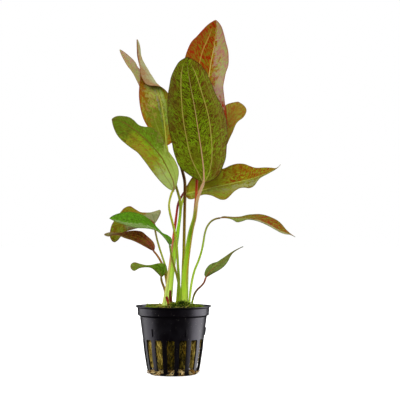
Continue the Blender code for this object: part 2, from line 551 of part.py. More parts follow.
def polar(radius, angle, height):
    """Points at a radius and an angle in degrees from straight ahead, positive to the right."""
    turn = np.radians(angle)
    shape = np.broadcast(radius, angle, height).shape
    return np.stack([
        np.broadcast_to(radius * np.sin(turn), shape),
        np.broadcast_to(-radius * np.cos(turn), shape),
        np.broadcast_to(height, shape),
    ], axis=-1)


def turned_skin(profile, angles):
    """Turn a profile of (radius, height) to a grid of points, one row for each profile point."""
    table = np.array(profile, dtype=float)
    return polar(table[:, :1], angles[None, :], table[:, 1:])


def tube(path, sides, rings):
    """Sweep an oval along a stalk's table: width across the view, depth along it."""
    line = smooth_curve(path, rings)
    centre, size = line[:, :3], line[:, 3:] / 2
    tangent = unit(np.gradient(centre, axis=0))
    across = unit(np.cross(tangent, (0.0, 1.0, 0.0)))
    along = np.cross(across, tangent)
    turn = np.arange(sides) * 2 * math.pi / sides
    grid = (
        centre[:, None]
        + across[:, None] * size[:, None, :1] * np.cos(turn)[None, :, None]
        + along[:, None] * size[:, None, 1:] * np.sin(turn)[None, :, None]
    )
    faces = [
        (r * sides + c, r * sides + (c + 1) % sides,
         (r + 1) * sides + (c + 1) % sides, (r + 1) * sides + c)
        for r in range(rings - 1) for c in range(sides)
    ]
    faces.append(tuple(range(sides)))
    faces.append(tuple((rings - 1) * sides + c for c in range(sides)))
    return grid.reshape(-1, 3), faces


def blade_grid(leaf):
    """Loft a blade: rows run from foot to tip, columns from edge to edge."""
    lines = np.stack([smooth_curve(line, leaf.rows, 0.5) for line in leaf.lines], axis=0)
    stations = np.linspace(0.0, 1.0, len(lines))
    return hermite(stations, lines, np.linspace(0.0, 1.0, leaf.columns)).transpose(1, 0, 2)


def make_blade(leaf):
    """Make one blade as a lofted sheet with its thickness."""
    grid = blade_grid(leaf)
    rows, columns = grid.shape[:2]
    faces = [
        (r * columns + c, r * columns + c + 1, (r + 1) * columns + c + 1, (r + 1) * columns + c)
        for r in range(rows - 1) for c in range(columns - 1)
    ]
    blade = make_object("blade_" + leaf.name, grid.reshape(-1, 3), faces,
                        make_material("blade_" + leaf.name, leaf.colour, 0.4))
    thickness = blade.modifiers.new("thickness", "SOLIDIFY")
    thickness.thickness = BLADE_THICKNESS * MM
    thickness.offset = 0.0
    return blade


def make_stalk(name, path, colour):
    """Make a leaf stalk or a cut stub."""
    length = np.linalg.norm(np.diff(np.array(path)[:, :3], axis=0), axis=1).sum()
    rings = max(5, round(length / 6.5))
    vertices, faces = tube(path, 6, rings)
    return make_object(name, vertices, faces, make_material(name, colour, 0.45))


def oval(half, centre, angles, power=3.0):
    """Points of a superellipse round a centre."""
    turn = np.radians(angles)
    x, y = np.sin(turn), -np.cos(turn)
    reach = (np.abs(x / half[0]) ** power + np.abs(y / half[1]) ** power) ** (-1 / power)
    return centre[0] + x * reach, centre[1] + y * reach


def oval_lump(half, centre, levels, sides):
    """A solid with an oval outline; levels are (scale, height) from bottom to top."""
    angles = np.arange(sides) * 360.0 / sides
    x, y = oval(half, (0.0, 0.0), angles)
    grid = np.stack([
        np.stack([centre[0] + x * scale, centre[1] + y * scale, np.full(sides, float(height))], axis=-1)
        for scale, height in levels
    ])
    faces = [
        (r * sides + c, r * sides + (c + 1) % sides,
         (r + 1) * sides + (c + 1) % sides, (r + 1) * sides + c)
        for r in range(len(levels) - 1) for c in range(sides)
    ]
    faces.append(tuple(range(sides)))
    faces.append(tuple((len(levels) - 1) * sides + c for c in range(sides)))
    return grid.reshape(-1, 3), faces


def slot_columns():
    """Angles of the pot's grid lines, and for each cell between them whether it is a slot."""
    pitch = 360.0 / SLOT_COUNT
    angles, is_slot = [], []
    for k in range(SLOT_COUNT):
        rib = RIB_PHASE + k * pitch
        edge = (pitch - SLOT_ANGLE) / 2
        angles += [rib - edge, rib + edge, rib + pitch / 2]
        is_slot += [False, True, True]
    return np.array(angles), np.array(is_slot)


def make_pot():
    """The net pot: a turned cup with a thin lip, slots in its wall and floor, and five nubs."""
    angles, is_slot = slot_columns()
    outer = turned_skin(POT_OUTER, angles)
    inner = turned_skin(POT_INNER, angles)
    filled = np.ones((len(POT_OUTER) - 1, len(angles)), dtype=bool)
    for row in WALL_SLOT_ROWS + FLOOR_SLOT_ROWS:
        filled[row] = ~is_slot
    vertices, faces = cell_shell(outer, inner, filled)
    pot = make_object("net_pot", vertices, faces, make_material("net_pot", (0.012, 0.012, 0.016), 0.35))

    nub_vertices, nub_faces = [], []
    for angle in NUB_ANGLES:
        start = len(nub_vertices)
        for height, rise in ((NUB_BOTTOM, -0.1), (NUB_BOTTOM + 1, NUB_RISE),
                             (NUB_TOP - 1, NUB_RISE), (NUB_TOP, -0.1)):
            wall = np.interp(height, (25.8, 41.8), (22.1, 24.2))
            half = math.degrees(NUB_WIDTH / 2 / wall)
            for radius in (wall - 0.5, wall + rise):
                nub_vertices += polar(radius, np.array([angle - half, angle + half]), height).tolist()
        for r in range(3):
            a = start + 4 * r
            for i, j in ((0, 1), (1, 3), (3, 2), (2, 0)):
                nub_faces.append((a + i, a + j, a + 4 + j, a + 4 + i))
        nub_faces.append((start, start + 2, start + 3, start + 1))
        nub_faces.append((start + 12, start + 13, start + 15, start + 14))
    nubs = make_object("pot_nubs_tool", nub_vertices, nub_faces, pot.data.materials[0])
    join_tool(pot, nubs, "UNION")
    return pot


def join_tool(target, tool, operation):
    """Apply a hidden solid to its target with a Boolean."""
    tool.hide_render = True
    tool.display_type = "WIRE"
    modifier = target.modifiers.new(tool.name, "BOOLEAN")
    modifier.operation = operation
    modifier.solver = "EXACT"
    modifier.object = tool


def make_plug():
    """The rockwool plug, with a pocket for the crown."""
    angles = np.arange(PLUG_SIDES) * 360.0 / PLUG_SIDES
    skin = turned_skin(PLUG_PROFILE, angles)
    rows = len(PLUG_PROFILE)
    faces = [
        (r * PLUG_SIDES + c, r * PLUG_SIDES + (c + 1) % PLUG_SIDES,
         (r + 1) * PLUG_SIDES + (c + 1) % PLUG_SIDES, (r + 1) * PLUG_SIDES + c)
        for r in range(rows - 1) for c in range(PLUG_SIDES)
    ]
    faces.append(tuple(range(PLUG_SIDES)))
    faces.append(tuple((rows - 1) * PLUG_SIDES + c for c in range(PLUG_SIDES)))
    material = make_material("rockwool_plug", (0.33, 0.25, 0.07), 0.95)
    plug = make_object("rockwool_plug", skin.reshape(-1, 3), faces, material)
    grow = tuple(half + GAP + 0.1 for half in CROWN_HALF)
    levels = ((0.8, CROWN_BOTTOM - GAP - 0.1), (1.0, CROWN_BOTTOM + 2.6), (1.0, CROWN_TOP + 2.0))
    vertices, faces = oval_lump(grow, CROWN_CENTRE, levels, 24)
    join_tool(plug, make_object("crown_pocket_tool", vertices, faces, material), "DIFFERENCE")
    return plug


def make_crown():
    """The rootstock crown that the stalks stand on."""
    levels = ((0.78, CROWN_BOTTOM), (1.0, CROWN_BOTTOM + 3.0), (1.0, CROWN_TOP - 0.8), (0.95, CROWN_TOP))
    vertices, faces = oval_lump(CROWN_HALF, CROWN_CENTRE, levels, 24)
    return make_object("rootstock_crown", vertices, faces,
                       make_material("rootstock_crown", (0.16, 0.14, 0.05), 0.8))


def make_moss():
    """The uneven moss ring between the crown and the pot's rim."""
    angles = np.arange(32) * 360.0 / 32
    hole = tuple(half + 0.7 for half in CROWN_HALF)
    inner_x, inner_y = oval(hole, CROWN_CENTRE, angles)
    edge = polar(MOSS_RADIUS, angles, 0.0)
    rows = []
    for share in (0.0, 0.25, 0.6, 1.0):
        x = inner_x + (edge[:, 0] - inner_x) * share
        y = inner_y + (edge[:, 1] - inner_y) * share
        hump = 2.7 * np.exp(-(((x - 5.0) / 8.5) ** 2) - ((y + 9.0) / 3.0) ** 2)
        ripple = 0.45 * np.sin(5 * np.radians(angles) + 1.0) + 0.3 * np.sin(9 * np.radians(angles) + 4 * share)
        fall = 1.0 - 0.7 * (share == 1.0)
        rows.append(np.stack([x, y, MOSS_LEVEL + (hump + ripple) * fall], axis=-1))
    top = np.stack(rows)
    bottom = top.copy()
    bottom[:, :, 2] = MOSS_BOTTOM
    vertices, faces = cell_shell(top, bottom, np.ones((3, 32), dtype=bool))
    return make_object("moss_cover", vertices, faces, make_material("moss_cover", (0.10, 0.14, 0.02), 0.95))


def make_roots():
    """The mat of roots under the plug, with lobes that come out through the slots."""
    pitch = 360.0 / SLOT_COUNT
    half = 4.5
    angles, lobe = [], []
    for k in range(SLOT_COUNT):
        slot = RIB_PHASE + (k + 0.5) * pitch
        angles += [slot - half, slot, slot + half]
        lobe += [ROOT_LOBES.get(k, 0.0)] * 2 + [0.0]
    angles, lobe = np.array(angles), np.array(lobe)
    reach = np.maximum(lobe, np.roll(lobe, 1))
    reach = np.maximum(reach, 19.0)
    crest = (np.arange(len(angles)) % 3 == 1).astype(float)
    rows = (
        (np.full(len(angles), 0.0), ROOT_TOP, ROOT_BOTTOM, 0.0),
        (np.full(len(angles), 9.0), ROOT_TOP, ROOT_BOTTOM, 0.0),
        (np.full(len(angles), ROOT_RADIUS), ROOT_TOP - 0.4, 2.4, 0.0),
        (np.full(len(angles), 18.0), 3.7, 2.5, 0.5),
        (np.full(len(angles), 19.7), 3.3, 1.3, 0.5),
        (np.maximum(reach, 20.1), 1.5, 0.2, 0.4),
    )
    top = np.stack([polar(radius, angles, high + rise * crest) for radius, high, _, rise in rows])
    bottom = np.stack([polar(radius, angles, np.full(len(angles), low)) for radius, _, low, _ in rows])
    filled = np.ones((5, len(angles)), dtype=bool)
    filled[2:] = lobe > 0
    vertices, faces = cell_shell(top, bottom, filled)
    return make_object("root_mat", vertices, faces, make_material("root_mat", (0.42, 0.30, 0.12), 0.85))


def main():
    """Build every solid of the potted plant."""
    for leftover in list(bpy.data.objects):
        bpy.data.objects.remove(leftover, do_unlink=True)
    make_pot()
    make_plug()
    make_crown()
    make_moss()
    make_roots()
    for leaf in LEAVES:
        make_stalk("stalk_" + leaf.name, leaf.stalk, leaf.stalk_colour)
        make_blade(leaf)
    for name, path in STUBS:
        make_stalk(name, path, (0.12, 0.02, 0.02))


main()
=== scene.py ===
"""Looks of an aquatic sword plant in a slotted net pot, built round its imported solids.

The pot stands on z = 0 with its axis on Z, and the viewer looks along +Y.  Tables and
sizes are in millimetres and become metres where a mesh is made.  Each leaf is a stalk
swept along a curve, a thin closed blade lofted through one edge, the midrib and the other
edge, and a midrib that carries the stalk's line on to the tip.
"""
import logging
import math
from dataclasses import dataclass
from enum import Enum
from functools import partial

import bpy
import numpy as np
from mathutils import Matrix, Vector


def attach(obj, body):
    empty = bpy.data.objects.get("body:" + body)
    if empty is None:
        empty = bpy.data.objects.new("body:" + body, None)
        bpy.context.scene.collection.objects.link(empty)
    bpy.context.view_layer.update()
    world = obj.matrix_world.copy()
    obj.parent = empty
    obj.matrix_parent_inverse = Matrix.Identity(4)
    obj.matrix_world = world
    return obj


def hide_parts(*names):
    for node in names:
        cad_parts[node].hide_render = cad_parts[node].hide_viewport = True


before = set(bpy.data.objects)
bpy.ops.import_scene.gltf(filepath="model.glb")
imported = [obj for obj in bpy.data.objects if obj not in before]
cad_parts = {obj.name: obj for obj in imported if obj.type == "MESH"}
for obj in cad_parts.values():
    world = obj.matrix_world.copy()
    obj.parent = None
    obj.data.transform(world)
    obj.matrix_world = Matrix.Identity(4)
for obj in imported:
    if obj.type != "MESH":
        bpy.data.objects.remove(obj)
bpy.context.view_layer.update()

# Short names of types
Array = np.ndarray
Socket = bpy.types.NodeSocket
Generator = np.random.Generator

MM = 0.001
BODY = "root"
log = logging.getLogger("sword_plant")

# Camera, in millimetres
CAMERA_PLACE = (19.2, -900.0, 104.5)
CAMERA_AIM_Z = 125.5
HALF_VIEW = 144.74  # half the width seen at the pot's axis
SENSOR = 36.0  # width of its sensor

# Pot, as radius and height of its two skins
POT_OUTER = (
    (27.5, 48.7), (26.0, 48.0), (25.7, 42.6), (24.2, 41.8), (22.1, 25.8), (21.35, 18.0),
    (19.4, 5.6), (18.7, 2.8), (17.7, 1.2), (16.6, 0.0), (14.8, 0.0), (8.0, 0.0), (0.0, 0.0),
)
POT_INNER = (
    (27.5, 49.2), (25.0, 49.2), (24.6, 42.4), (23.1, 41.4), (21.0, 25.8), (20.25, 18.0),
    (18.3, 5.8), (17.7, 3.4), (16.9, 2.1), (16.2, 1.2), (14.8, 1.2), (8.0, 1.2), (0.0, 1.2),
)
# How far the rounding of each corner of either skin reaches
POT_EASING = (0.25, 0.5, 0.5, 0.4, 0.4, 2.0, 1.2, 0.9, 0.7, 0.4, 0.3, 0.3, 0.1)
SLOT_COUNT = 15
SLOT_ANGLE = 15.0  # width of a slot in degrees
RIB_PHASE = 7.8  # angle of the first rib, from straight ahead to the right
NUB_ANGLES = (-40.0, 25.0, 93.0, 165.0, -112.0)
NUB_BOTTOM = 27.5
NUB_TOP = 33.9
PLUG_PROFILE = ((17.1, 5.2), (20.3, 25.0), (22.3, 41.0), (23.2, 43.4), (23.4, 46.6))
MOSS_RADIUS = 24.0
MOSS_LEVEL = 48.5  # the bed lies 0.2 under it, but for its dome, lumps and rim
STALK_FOOT = 47.0  # the stalks go down into the moss to this height
STALK_GIRTH = 0.35  # the solids are this much slimmer, to keep clear of each other
# How far out the roots of each slot reach, by its number
ROOT_LOBES = {0: 21.6, 1: 21.4, 2: 20.3, 4: 20.6, 6: 21.5, 8: 20.2, 9: 22.0, 11: 20.4,
              12: 21.8, 13: 24.4, 14: 20.2}


class RibSide(Enum):
    """How far the midrib's middle lies off the blade's, toward the seen face."""

    RAISED = 0.10
    LEVEL = -0.06


Colour = tuple[float, float, float]  # red, green and blue as a display shows them, 0 to 255
WHITE: Colour = (255, 255, 255)


def linear(colour: Colour) -> tuple:
    """A display colour as linear light from 0 to 1, with full cover as its fourth number."""
    shares = (part / 255.0 for part in colour)
    return (*(s / 12.92 if s <= 0.04045 else ((s + 0.055) / 1.055) ** 2.4 for s in shares), 1.0)


@dataclass(frozen=True)
class LeafShape:
    """One leaf: its stalk as (x, y, z, width, depth) and its blade's lines as (x, y, z).

    The lines are one edge, the midrib and the other edge; a fourth is a margin folded over.
    """

    name: str
    slot: str  # the record's slot of the stalk
    stalk: tuple
    lines: tuple


LEAVES = (
    LeafShape("front", "stalk_green", (
        (7.8, -3.5, 48.3, 4.9, 2.4), (7.8, -3.9, 60, 4.3, 2.2), (8.3, -4.5, 72, 4, 2.1),
        (9.8, -5.3, 84, 3.6, 2), (11.2, -6.1, 95, 3.5, 1.9), (13, -7.2, 104.5, 2.9, 1.8),
        (15.2, -8.4, 112.5, 2.6, 1.7), (16.4, -9.4, 119.5, 2, 1.6), (17.3, -10.3, 125.5, 1.8, 1.5),
        (19.3, -11.3, 131.5, 1.7, 1.4), (21.6, -12.2, 137, 1.6, 1.3)), (
        ((21.2, -12.2, 137.6), (15, -10.5, 141), (9, -10, 144.8), (4.3, -10, 149.5), (1.3, -10, 156.5),
         (-0.7, -10, 165), (-2.7, -10.5, 174.5), (-4, -11, 184.5), (-4.1, -11.5, 195), (-3.1, -12, 205.5),
         (-1.3, -13, 213.5), (1.2, -14, 219.5), (4.6, -15.5, 224), (9.3, -17, 226.7)),
        ((21.7, -12.6, 137.3), (21.7, -14, 145.5), (20.1, -16.5, 158.5), (18.3, -18, 170.5),
         (16.5, -19, 182), (14.7, -19.5, 193), (12.5, -19.3, 205), (10.6, -18.5, 216.5),
         (9.8, -17.2, 226.8)),
        ((22.2, -12.3, 137.6), (27, -11, 138.6), (31.7, -10, 141.8), (35, -9.5, 147.5), (37.4, -9, 154.5),
         (38.5, -9, 163.5), (38.7, -9.5, 174.5), (38, -10, 182.5), (36, -11, 189.5), (33, -12, 196),
         (29.8, -13, 202.5), (27, -14, 209.5), (24.3, -15, 215.5), (20.8, -16, 220.3), (16, -17, 224.3),
         (10.3, -17.2, 226.9)))),
    LeafShape("tall", "stalk_red", (
        (9.2, 2.8, 48.3, 2.8, 2.2), (9.3, 2.9, 62, 2.5, 2), (9.8, 3, 76, 2.2, 1.9), (11, 3, 90, 2.1, 1.8),
        (12.8, 3, 103, 2, 1.7), (15.2, 3, 115, 1.9, 1.6), (16.3, 3.1, 126, 1.8, 1.5),
        (16.8, 4, 138, 1.8, 1.5), (17.5, 6.3, 148, 1.8, 1.5), (18.4, 9.3, 156.4, 1.8, 1.4)), (
        ((18, 9.6, 157), (13.5, 10, 166.3), (10, 11.8, 179.3), (7.7, 14.8, 194.3), (6.5, 17.5, 209.5),
         (6.6, 20, 221.8), (8, 22, 232), (10.2, 23.5, 238.7), (13, 25, 244.5), (17, 26.5, 248.7),
         (21, 28, 253.5), (25, 30, 257.8), (29.8, 31.8, 261.3)),
        ((18.4, 9.9, 156.7), (20.3, 14, 173), (22.5, 17.8, 188.2), (24, 20.5, 203.5), (25.6, 23.5, 218.2),
         (27.7, 26.3, 231.6), (30.1, 29.3, 244.1), (31.1, 31, 252.9), (31.1, 32, 261.7)),
        ((18.9, 9.6, 157), (26, 8.3, 160.3), (33, 8.8, 165.2), (38, 10.5, 173.2), (39.3, 12.3, 182.2),
         (38.7, 14, 190.3), (37.5, 16, 198.5), (36.8, 17.5, 205), (36.6, 18.5, 211.6),
         (38.2, 20.5, 219.3), (40.3, 22.3, 227), (40.5, 24, 234.8), (38.9, 26, 243.1), (37, 28, 250.5),
         (35.3, 29.8, 256.6), (31.6, 31.8, 261.4)))),
    LeafShape("back_left", "stalk_dark", (
        (6.6, 0.6, 48.3, 2.6, 1.9), (6.6, 0.8, 60, 2.3, 1.8), (7, 1.1, 75, 2, 1.7),
        (7.5, 1.5, 90, 1.8, 1.6), (7.8, 1.9, 105, 1.8, 1.6), (8.1, 2.3, 120, 1.8, 1.6),
        (8.3, 2.8, 131, 1.9, 1.6), (8, 3.5, 139.5, 1.9, 1.6), (6.5, 4.6, 146, 1.8, 1.5),
        (4.4, 6, 152.5, 1.7, 1.5), (2.3, 7.3, 159, 1.6, 1.4), (0.9, 8.2, 165.3, 1.6, 1.3)), (
        ((0.5, 8.2, 165.9), (-5, 8.5, 170.5), (-15, 10, 183), (-21.5, 12, 197), (-25, 14, 208),
         (-28.4, 16, 216), (-31.5, 17.5, 221.2), (-35.7, 19.5, 227), (-39.3, 21.5, 233.8),
         (-40.7, 22.5, 237.6)),
        ((0.8, 8.6, 165.9), (-4.5, 10.5, 175.5), (-11.5, 12.5, 189), (-18, 15, 201.5),
         (-24.2, 17.3, 212.5), (-29.8, 19.5, 222), (-35.3, 21.3, 230.7), (-40.5, 22.6, 238)),
        ((1.3, 8.2, 166), (0.5, 9, 177), (-4.5, 11, 190), (-10.5, 13, 202.5), (-17, 15.5, 213),
         (-23, 17.5, 221), (-26.7, 18.5, 224.3), (-28.2, 19, 227.4), (-30.6, 19.8, 230.4),
         (-33.7, 20.8, 233.3), (-36.8, 21.7, 236), (-40.2, 22.6, 238.1)))),
    LeafShape("folded", "stalk_green", (
        (-4, -1.8, 48.3, 3.2, 2.2), (-3.2, -1.3, 55, 2.8, 2), (-2.2, -0.9, 62, 2.5, 1.9),
        (-1.4, -0.5, 70, 2.4, 1.8), (-0.4, -0.1, 79, 2.3, 1.8), (0.6, 0.3, 87.5, 2.2, 1.8),
        (1.6, 0.7, 95, 2.1, 1.7), (2.8, 1.1, 101.5, 2, 1.6), (4.2, 1.5, 110, 1.8, 1.6),
        (5, 1.8, 118, 1.7, 1.5), (4.7, 1.8, 124.5, 1.6, 1.5), (3.4, 1.6, 130, 1.5, 1.4),
        (1.8, 1.4, 135.5, 1.5, 1.4), (-1.3, 1.6, 148, 1.5, 1.4), (-4, 2.5, 158, 1.6, 1.4),
        (-5.3, 3.2, 164.8, 1.7, 1.3)), (
        ((-5.9, 3.3, 165.3), (-11, 2.5, 169), (-16, 2, 174.5), (-19.8, 1.8, 180.3), (-22.2, 1.7, 185.3),
         (-24.2, 1.8, 192.7), (-25.2, 2, 201.5), (-24.9, 2.6, 209), (-24.3, 3.4, 215.5), (-24.5, 4, 221),
         (-25.6, 4.2, 226), (-26.6, 4.2, 231), (-26.9, 4, 236.5), (-27, 4, 242.5)),
        ((-5.3, 3.7, 165.1), (-6.1, 5, 173.5), (-7, 6, 181), (-8.1, 7, 189), (-9.6, 8, 197),
         (-12.2, 9, 205.5), (-16.2, 9.6, 213), (-20.3, 9.2, 220), (-23.5, 8, 228), (-25.3, 6.2, 236),
         (-26.8, 4.4, 242.8)),
        ((-4.9, 3.5, 165.3), (-3.2, 5, 174), (-2.7, 6, 184), (-3.7, 6.8, 194), (-6.3, 7.3, 202.5),
         (-9.8, 7, 208.5), (-13.2, 6.6, 211.8), (-16.5, 6.6, 216.5), (-19.8, 6.4, 222.4), (-22.4, 6, 227),
         (-24.2, 5.4, 231.5), (-24.5, 4.9, 236), (-25.1, 4.5, 239.8), (-26.4, 4.1, 242.7)),
        ((-4.6, 3.2, 165.4), (-1.5, 3, 167.5), (0.8, 4, 177), (0.6, 5, 189), (-1.8, 5, 198.5),
         (-5, 4.3, 204.6), (-9, 2.8, 208), (-13, 1.5, 208.4), (-17, 0.6, 208.6), (-20, 0.2, 209.9),
         (-22.2, 0.2, 212.6), (-23.8, 0.7, 216.3), (-24.2, 1.5, 220.3), (-25.3, 2.2, 226),
         (-26.2, 2.8, 233), (-26.6, 3.5, 242.5)))),
    LeafShape("left", "stalk_green", (
        (2.6, -1.8, 48.3, 2.4, 2), (3.4, -2, 58, 2.1, 1.8), (3.9, -2.4, 68, 1.8, 1.6),
        (3.3, -3, 78, 1.5, 1.4), (2.8, -3.5, 87, 1.5, 1.4), (2, -4, 95.5, 1.5, 1.4),
        (0.7, -4.6, 103.5, 1.4, 1.3), (-0.9, -5.1, 110, 1.3, 1.3), (-2.5, -5.7, 116.5, 1.3, 1.2),
        (-3.1, -6.2, 121.5, 1.2, 1.2), (-2.3, -6.7, 126.5, 1.2, 1.2), (-0.5, -7.1, 131.6, 1.3, 1.2)), (
        ((0.9, -7.3, 132.4), (2.2, -7, 135.5), (3.4, -6.8, 140), (3.9, -6.8, 145), (3.2, -7, 149.5),
         (1.2, -7.2, 154), (-1.5, -7.5, 157.7), (-4.3, -8, 161.5), (-6.3, -8, 167), (-9, -8, 172),
         (-12.3, -8, 175.7), (-16, -8, 177.7), (-20.5, -8.5, 177.9), (-24.5, -9.5, 179.2),
         (-28.3, -10.5, 182.4), (-32, -11.5, 184.7), (-36.3, -13, 185.4), (-40.3, -15, 184.9),
         (-43.2, -16.8, 183.2)),
        ((0.4, -7.6, 132.2), (0.2, -9, 137.5), (-2, -10.3, 143.2), (-5, -11.5, 149.5), (-9, -12.5, 156.5),
         (-15, -13.3, 163.5), (-22, -14, 170.5), (-30, -14.8, 177), (-37, -15.8, 181), (-43.5, -17, 182.7)),
        ((-0.1, -7.6, 132), (-3, -9.5, 133), (-7, -11, 136.2), (-11, -12.3, 140.5), (-15, -13.5, 145.5),
         (-19, -14.8, 151), (-22, -15.8, 155), (-25.3, -16.5, 158.8), (-29.3, -17.2, 161.7),
         (-33.3, -17.8, 164.7), (-37.2, -18, 168.2), (-40.2, -18, 172), (-42.4, -17.7, 177),
         (-43.6, -17.2, 182.3)))),
    LeafShape("right", "stalk_green", (
        (-2.6, 1.7, 48.3, 2.6, 2), (-1.9, 2, 58, 2.2, 1.8), (-0.9, 2.5, 69, 1.9, 1.6),
        (0.5, 3.1, 80, 1.7, 1.5), (1.9, 3.6, 90, 1.6, 1.5), (3.2, 4, 100, 1.5, 1.4),
        (4.3, 4.4, 110, 1.4, 1.4), (5.2, 4.9, 118.5, 1.3, 1.3), (6.5, 6, 125, 1.3, 1.3),
        (8.1, 6.9, 128.9, 1.3, 1.3)), (
        ((8.8, 7.8, 130.3), (9.6, 9, 135), (13, 10.5, 141), (20, 12.5, 146.3), (28, 14, 148.3),
         (36, 15.5, 149), (42, 16.5, 151.5), (47, 17.3, 152.8), (52, 18, 152.6), (56, 18.3, 151),
         (60, 18.2, 149.9), (66, 17.5, 149.9), (72, 16, 149.7), (75.4, 14.8, 149.4), (78.4, 14.1, 152.1)),
        ((9, 7.5, 129.9), (15, 8.5, 131.6), (22, 9.5, 133.2), (30, 10.5, 135.2), (38, 11.4, 137.1),
         (46, 12.3, 138.9), (54, 13.1, 140.7), (60, 13.6, 142.4), (66, 14, 144.6), (71, 14.1, 147),
         (75.5, 14.1, 149.1), (78.4, 13.8, 151.9)),
        ((8.8, 7.2, 129.5), (10.5, 6.3, 126.6), (14, 5.9, 126.4), (18, 5.8, 128.2), (22.5, 5.8, 129.7),
         (27, 5.6, 129.1), (31, 5.5, 127.2), (34.5, 5.5, 125.9), (38, 5.7, 126.2), (41.5, 6.2, 128.9),
         (44.5, 6.8, 132.2), (48, 7.5, 134.3), (51.5, 8.1, 134.6), (55, 8.7, 134.3), (58, 9.3, 135.6),
         (60.5, 10, 138.4), (62.5, 10.9, 141.6), (65.5, 11.8, 143.7), (70, 12.8, 145.7),
         (74.5, 13.4, 148.1), (78.4, 13.5, 151.7)))),
    LeafShape("back_right", "stalk_red", (
        (-7, 0.3, 48.3, 3, 2.2), (-5.9, 0.5, 55, 2.6, 2), (-4.7, 0.8, 62.5, 2.2, 1.8),
        (-3.7, 1.1, 69.5, 1.9, 1.6), (-2.7, 1.4, 77, 1.7, 1.5), (-1.8, 1.8, 84.5, 1.6, 1.5),
        (-0.9, 2.2, 92, 1.5, 1.4), (0, 2.7, 99.5, 1.5, 1.4), (1.1, 3.3, 107, 1.5, 1.4),
        (2.1, 4.1, 115, 1.4, 1.4), (3.1, 5.4, 122, 1.4, 1.3), (4.8, 7.5, 126.6, 1.3, 1.3),
        (7.4, 10.2, 131, 1.3, 1.3), (10.4, 13, 136.2, 1.3, 1.3), (13.6, 15.6, 141.6, 1.3, 1.3),
        (20, 19, 150, 1.3, 1.2), (27, 21.3, 157, 1.3, 1.2), (32.4, 22.3, 161.8, 1.3, 1.2)), (
        ((32.4, 22.5, 162.6), (30.5, 23.5, 172), (31.5, 25.5, 183), (34.5, 28, 192.5), (38.8, 30, 197.6),
         (43, 31.5, 199.3), (47.9, 32.5, 200.2)),
        ((32.9, 22.8, 162.3), (35.5, 25, 171.5), (39.3, 27.7, 181.5), (43.5, 30, 190.3),
         (48.4, 32.3, 199.9)),
        ((33.4, 22.5, 162.6), (38.3, 22.5, 166), (41.2, 23.3, 171.5), (43.8, 24.5, 177.5),
         (45.8, 25.5, 182), (48.2, 26.5, 185.2), (51.3, 27.8, 187.8), (53.4, 29, 190.7),
         (54.1, 30.2, 193.7), (52.6, 31.3, 196.8), (48.9, 32.2, 199.6)))),
    LeafShape("arching", "stalk_green", (
        (11.4, -2.8, 48.3, 1.5, 1.4), (12, -3.3, 57, 1.4, 1.3), (13.2, -3.9, 66, 1.3, 1.2),
        (15.2, -4.5, 74.5, 1.2, 1.2), (18.2, -5.1, 82, 1.2, 1.1), (20.4, -5.6, 89, 1.1, 1.1),
        (21.6, -6, 95, 1.1, 1.1), (22.6, -6.3, 101, 1, 1), (24.2, -6.5, 106, 1, 1),
        (27.2, -6.6, 110, 0.9, 0.9), (30.5, -6.6, 111.8, 0.9, 0.9), (33.2, -6.6, 112.4, 0.9, 0.9)), (
        ((33.7, -6.2, 112.6), (36, -4.5, 113.7), (39.5, -3.5, 113.4), (45, -2, 113.3), (50, -0.8, 113.8),
         (55, 0.3, 115), (60, 1, 115.4), (65, 1.2, 114.8), (70, 0.8, 113.5), (74.5, -0.2, 111.1),
         (78.5, -1.8, 107.8), (81.8, -3.8, 103.6), (84.5, -5.6, 101), (87.4, -7, 99.1)),
        ((33.8, -6.6, 112.4), (38, -6.6, 112.6), (44, -6.6, 112.5), (50, -6.6, 112.3), (56, -6.6, 111.9),
         (62, -6.8, 110.8), (67, -7, 108.8), (72, -7.2, 106.3), (77, -7.4, 103.4), (81, -7.4, 101.8),
         (84.5, -7.3, 100.5), (87.5, -7.2, 98.8)),
        ((33.8, -7, 112.3), (38, -8, 112.3), (42, -9.2, 111.3), (45.7, -10, 109.3), (49, -10.6, 110),
         (53, -11.3, 111.2), (58, -12, 110.9), (63, -12.3, 109.3), (68, -12.2, 107), (73, -11.8, 104.2),
         (77, -11, 101.8), (80, -10, 100.9), (83.5, -8.6, 100.4), (87.4, -7.4, 98.7)))),
    LeafShape("low_right", "stalk_dark", (
        (13, -4.5, 48.3, 1.3, 1.2), (13.9, -5, 53.5, 1.2, 1.1), (15.3, -5.6, 58, 1.1, 1),
        (17.5, -6.3, 61.3, 1, 1), (20.2, -7, 63.8, 0.9, 0.9), (22.3, -7.5, 66.6, 0.9, 0.9),
        (23.2, -7.7, 69.4, 0.9, 0.9)), (
        ((23.2, -7.7, 70), (22.3, -6.8, 71.8), (22.8, -6.4, 74.2), (24.2, -6.3, 76.7), (26.2, -6.6, 79),
         (28.8, -7.3, 80.4), (31.5, -8.2, 81), (35, -9.2, 83.3), (38, -10, 85.5), (41, -10.8, 87.6),
         (44.5, -11.7, 89.7), (49.8, -12.9, 92.2)),
        ((23.5, -7.9, 69.9), (26, -9.4, 73.6), (29, -10.3, 76.6), (32, -10.8, 79.3), (36, -11.4, 82.6),
         (40, -11.9, 85.8), (44, -12.4, 88.6), (50, -13, 92)),
        ((23.9, -7.8, 69.9), (26.3, -9, 71.3), (29, -10.2, 72.9), (32, -11, 74.6), (35, -11.7, 76.6),
         (37.5, -12.2, 79), (39.3, -12.4, 81.6), (40.8, -12.5, 84.5), (42.8, -12.6, 87.4),
         (45.5, -12.8, 89.5), (50.1, -13.1, 91.7)))),
    LeafShape("low_green", "stalk_green", (
        (4.4, -5.2, 48.3, 1.7, 1.5), (4.9, -5.4, 56, 1.6, 1.4), (4.3, -5.7, 63, 1.5, 1.3),
        (2.8, -6, 70, 1.3, 1.2), (1.2, -6.3, 76, 1.2, 1.1), (-0.3, -6.7, 81.5, 1.1, 1.1),
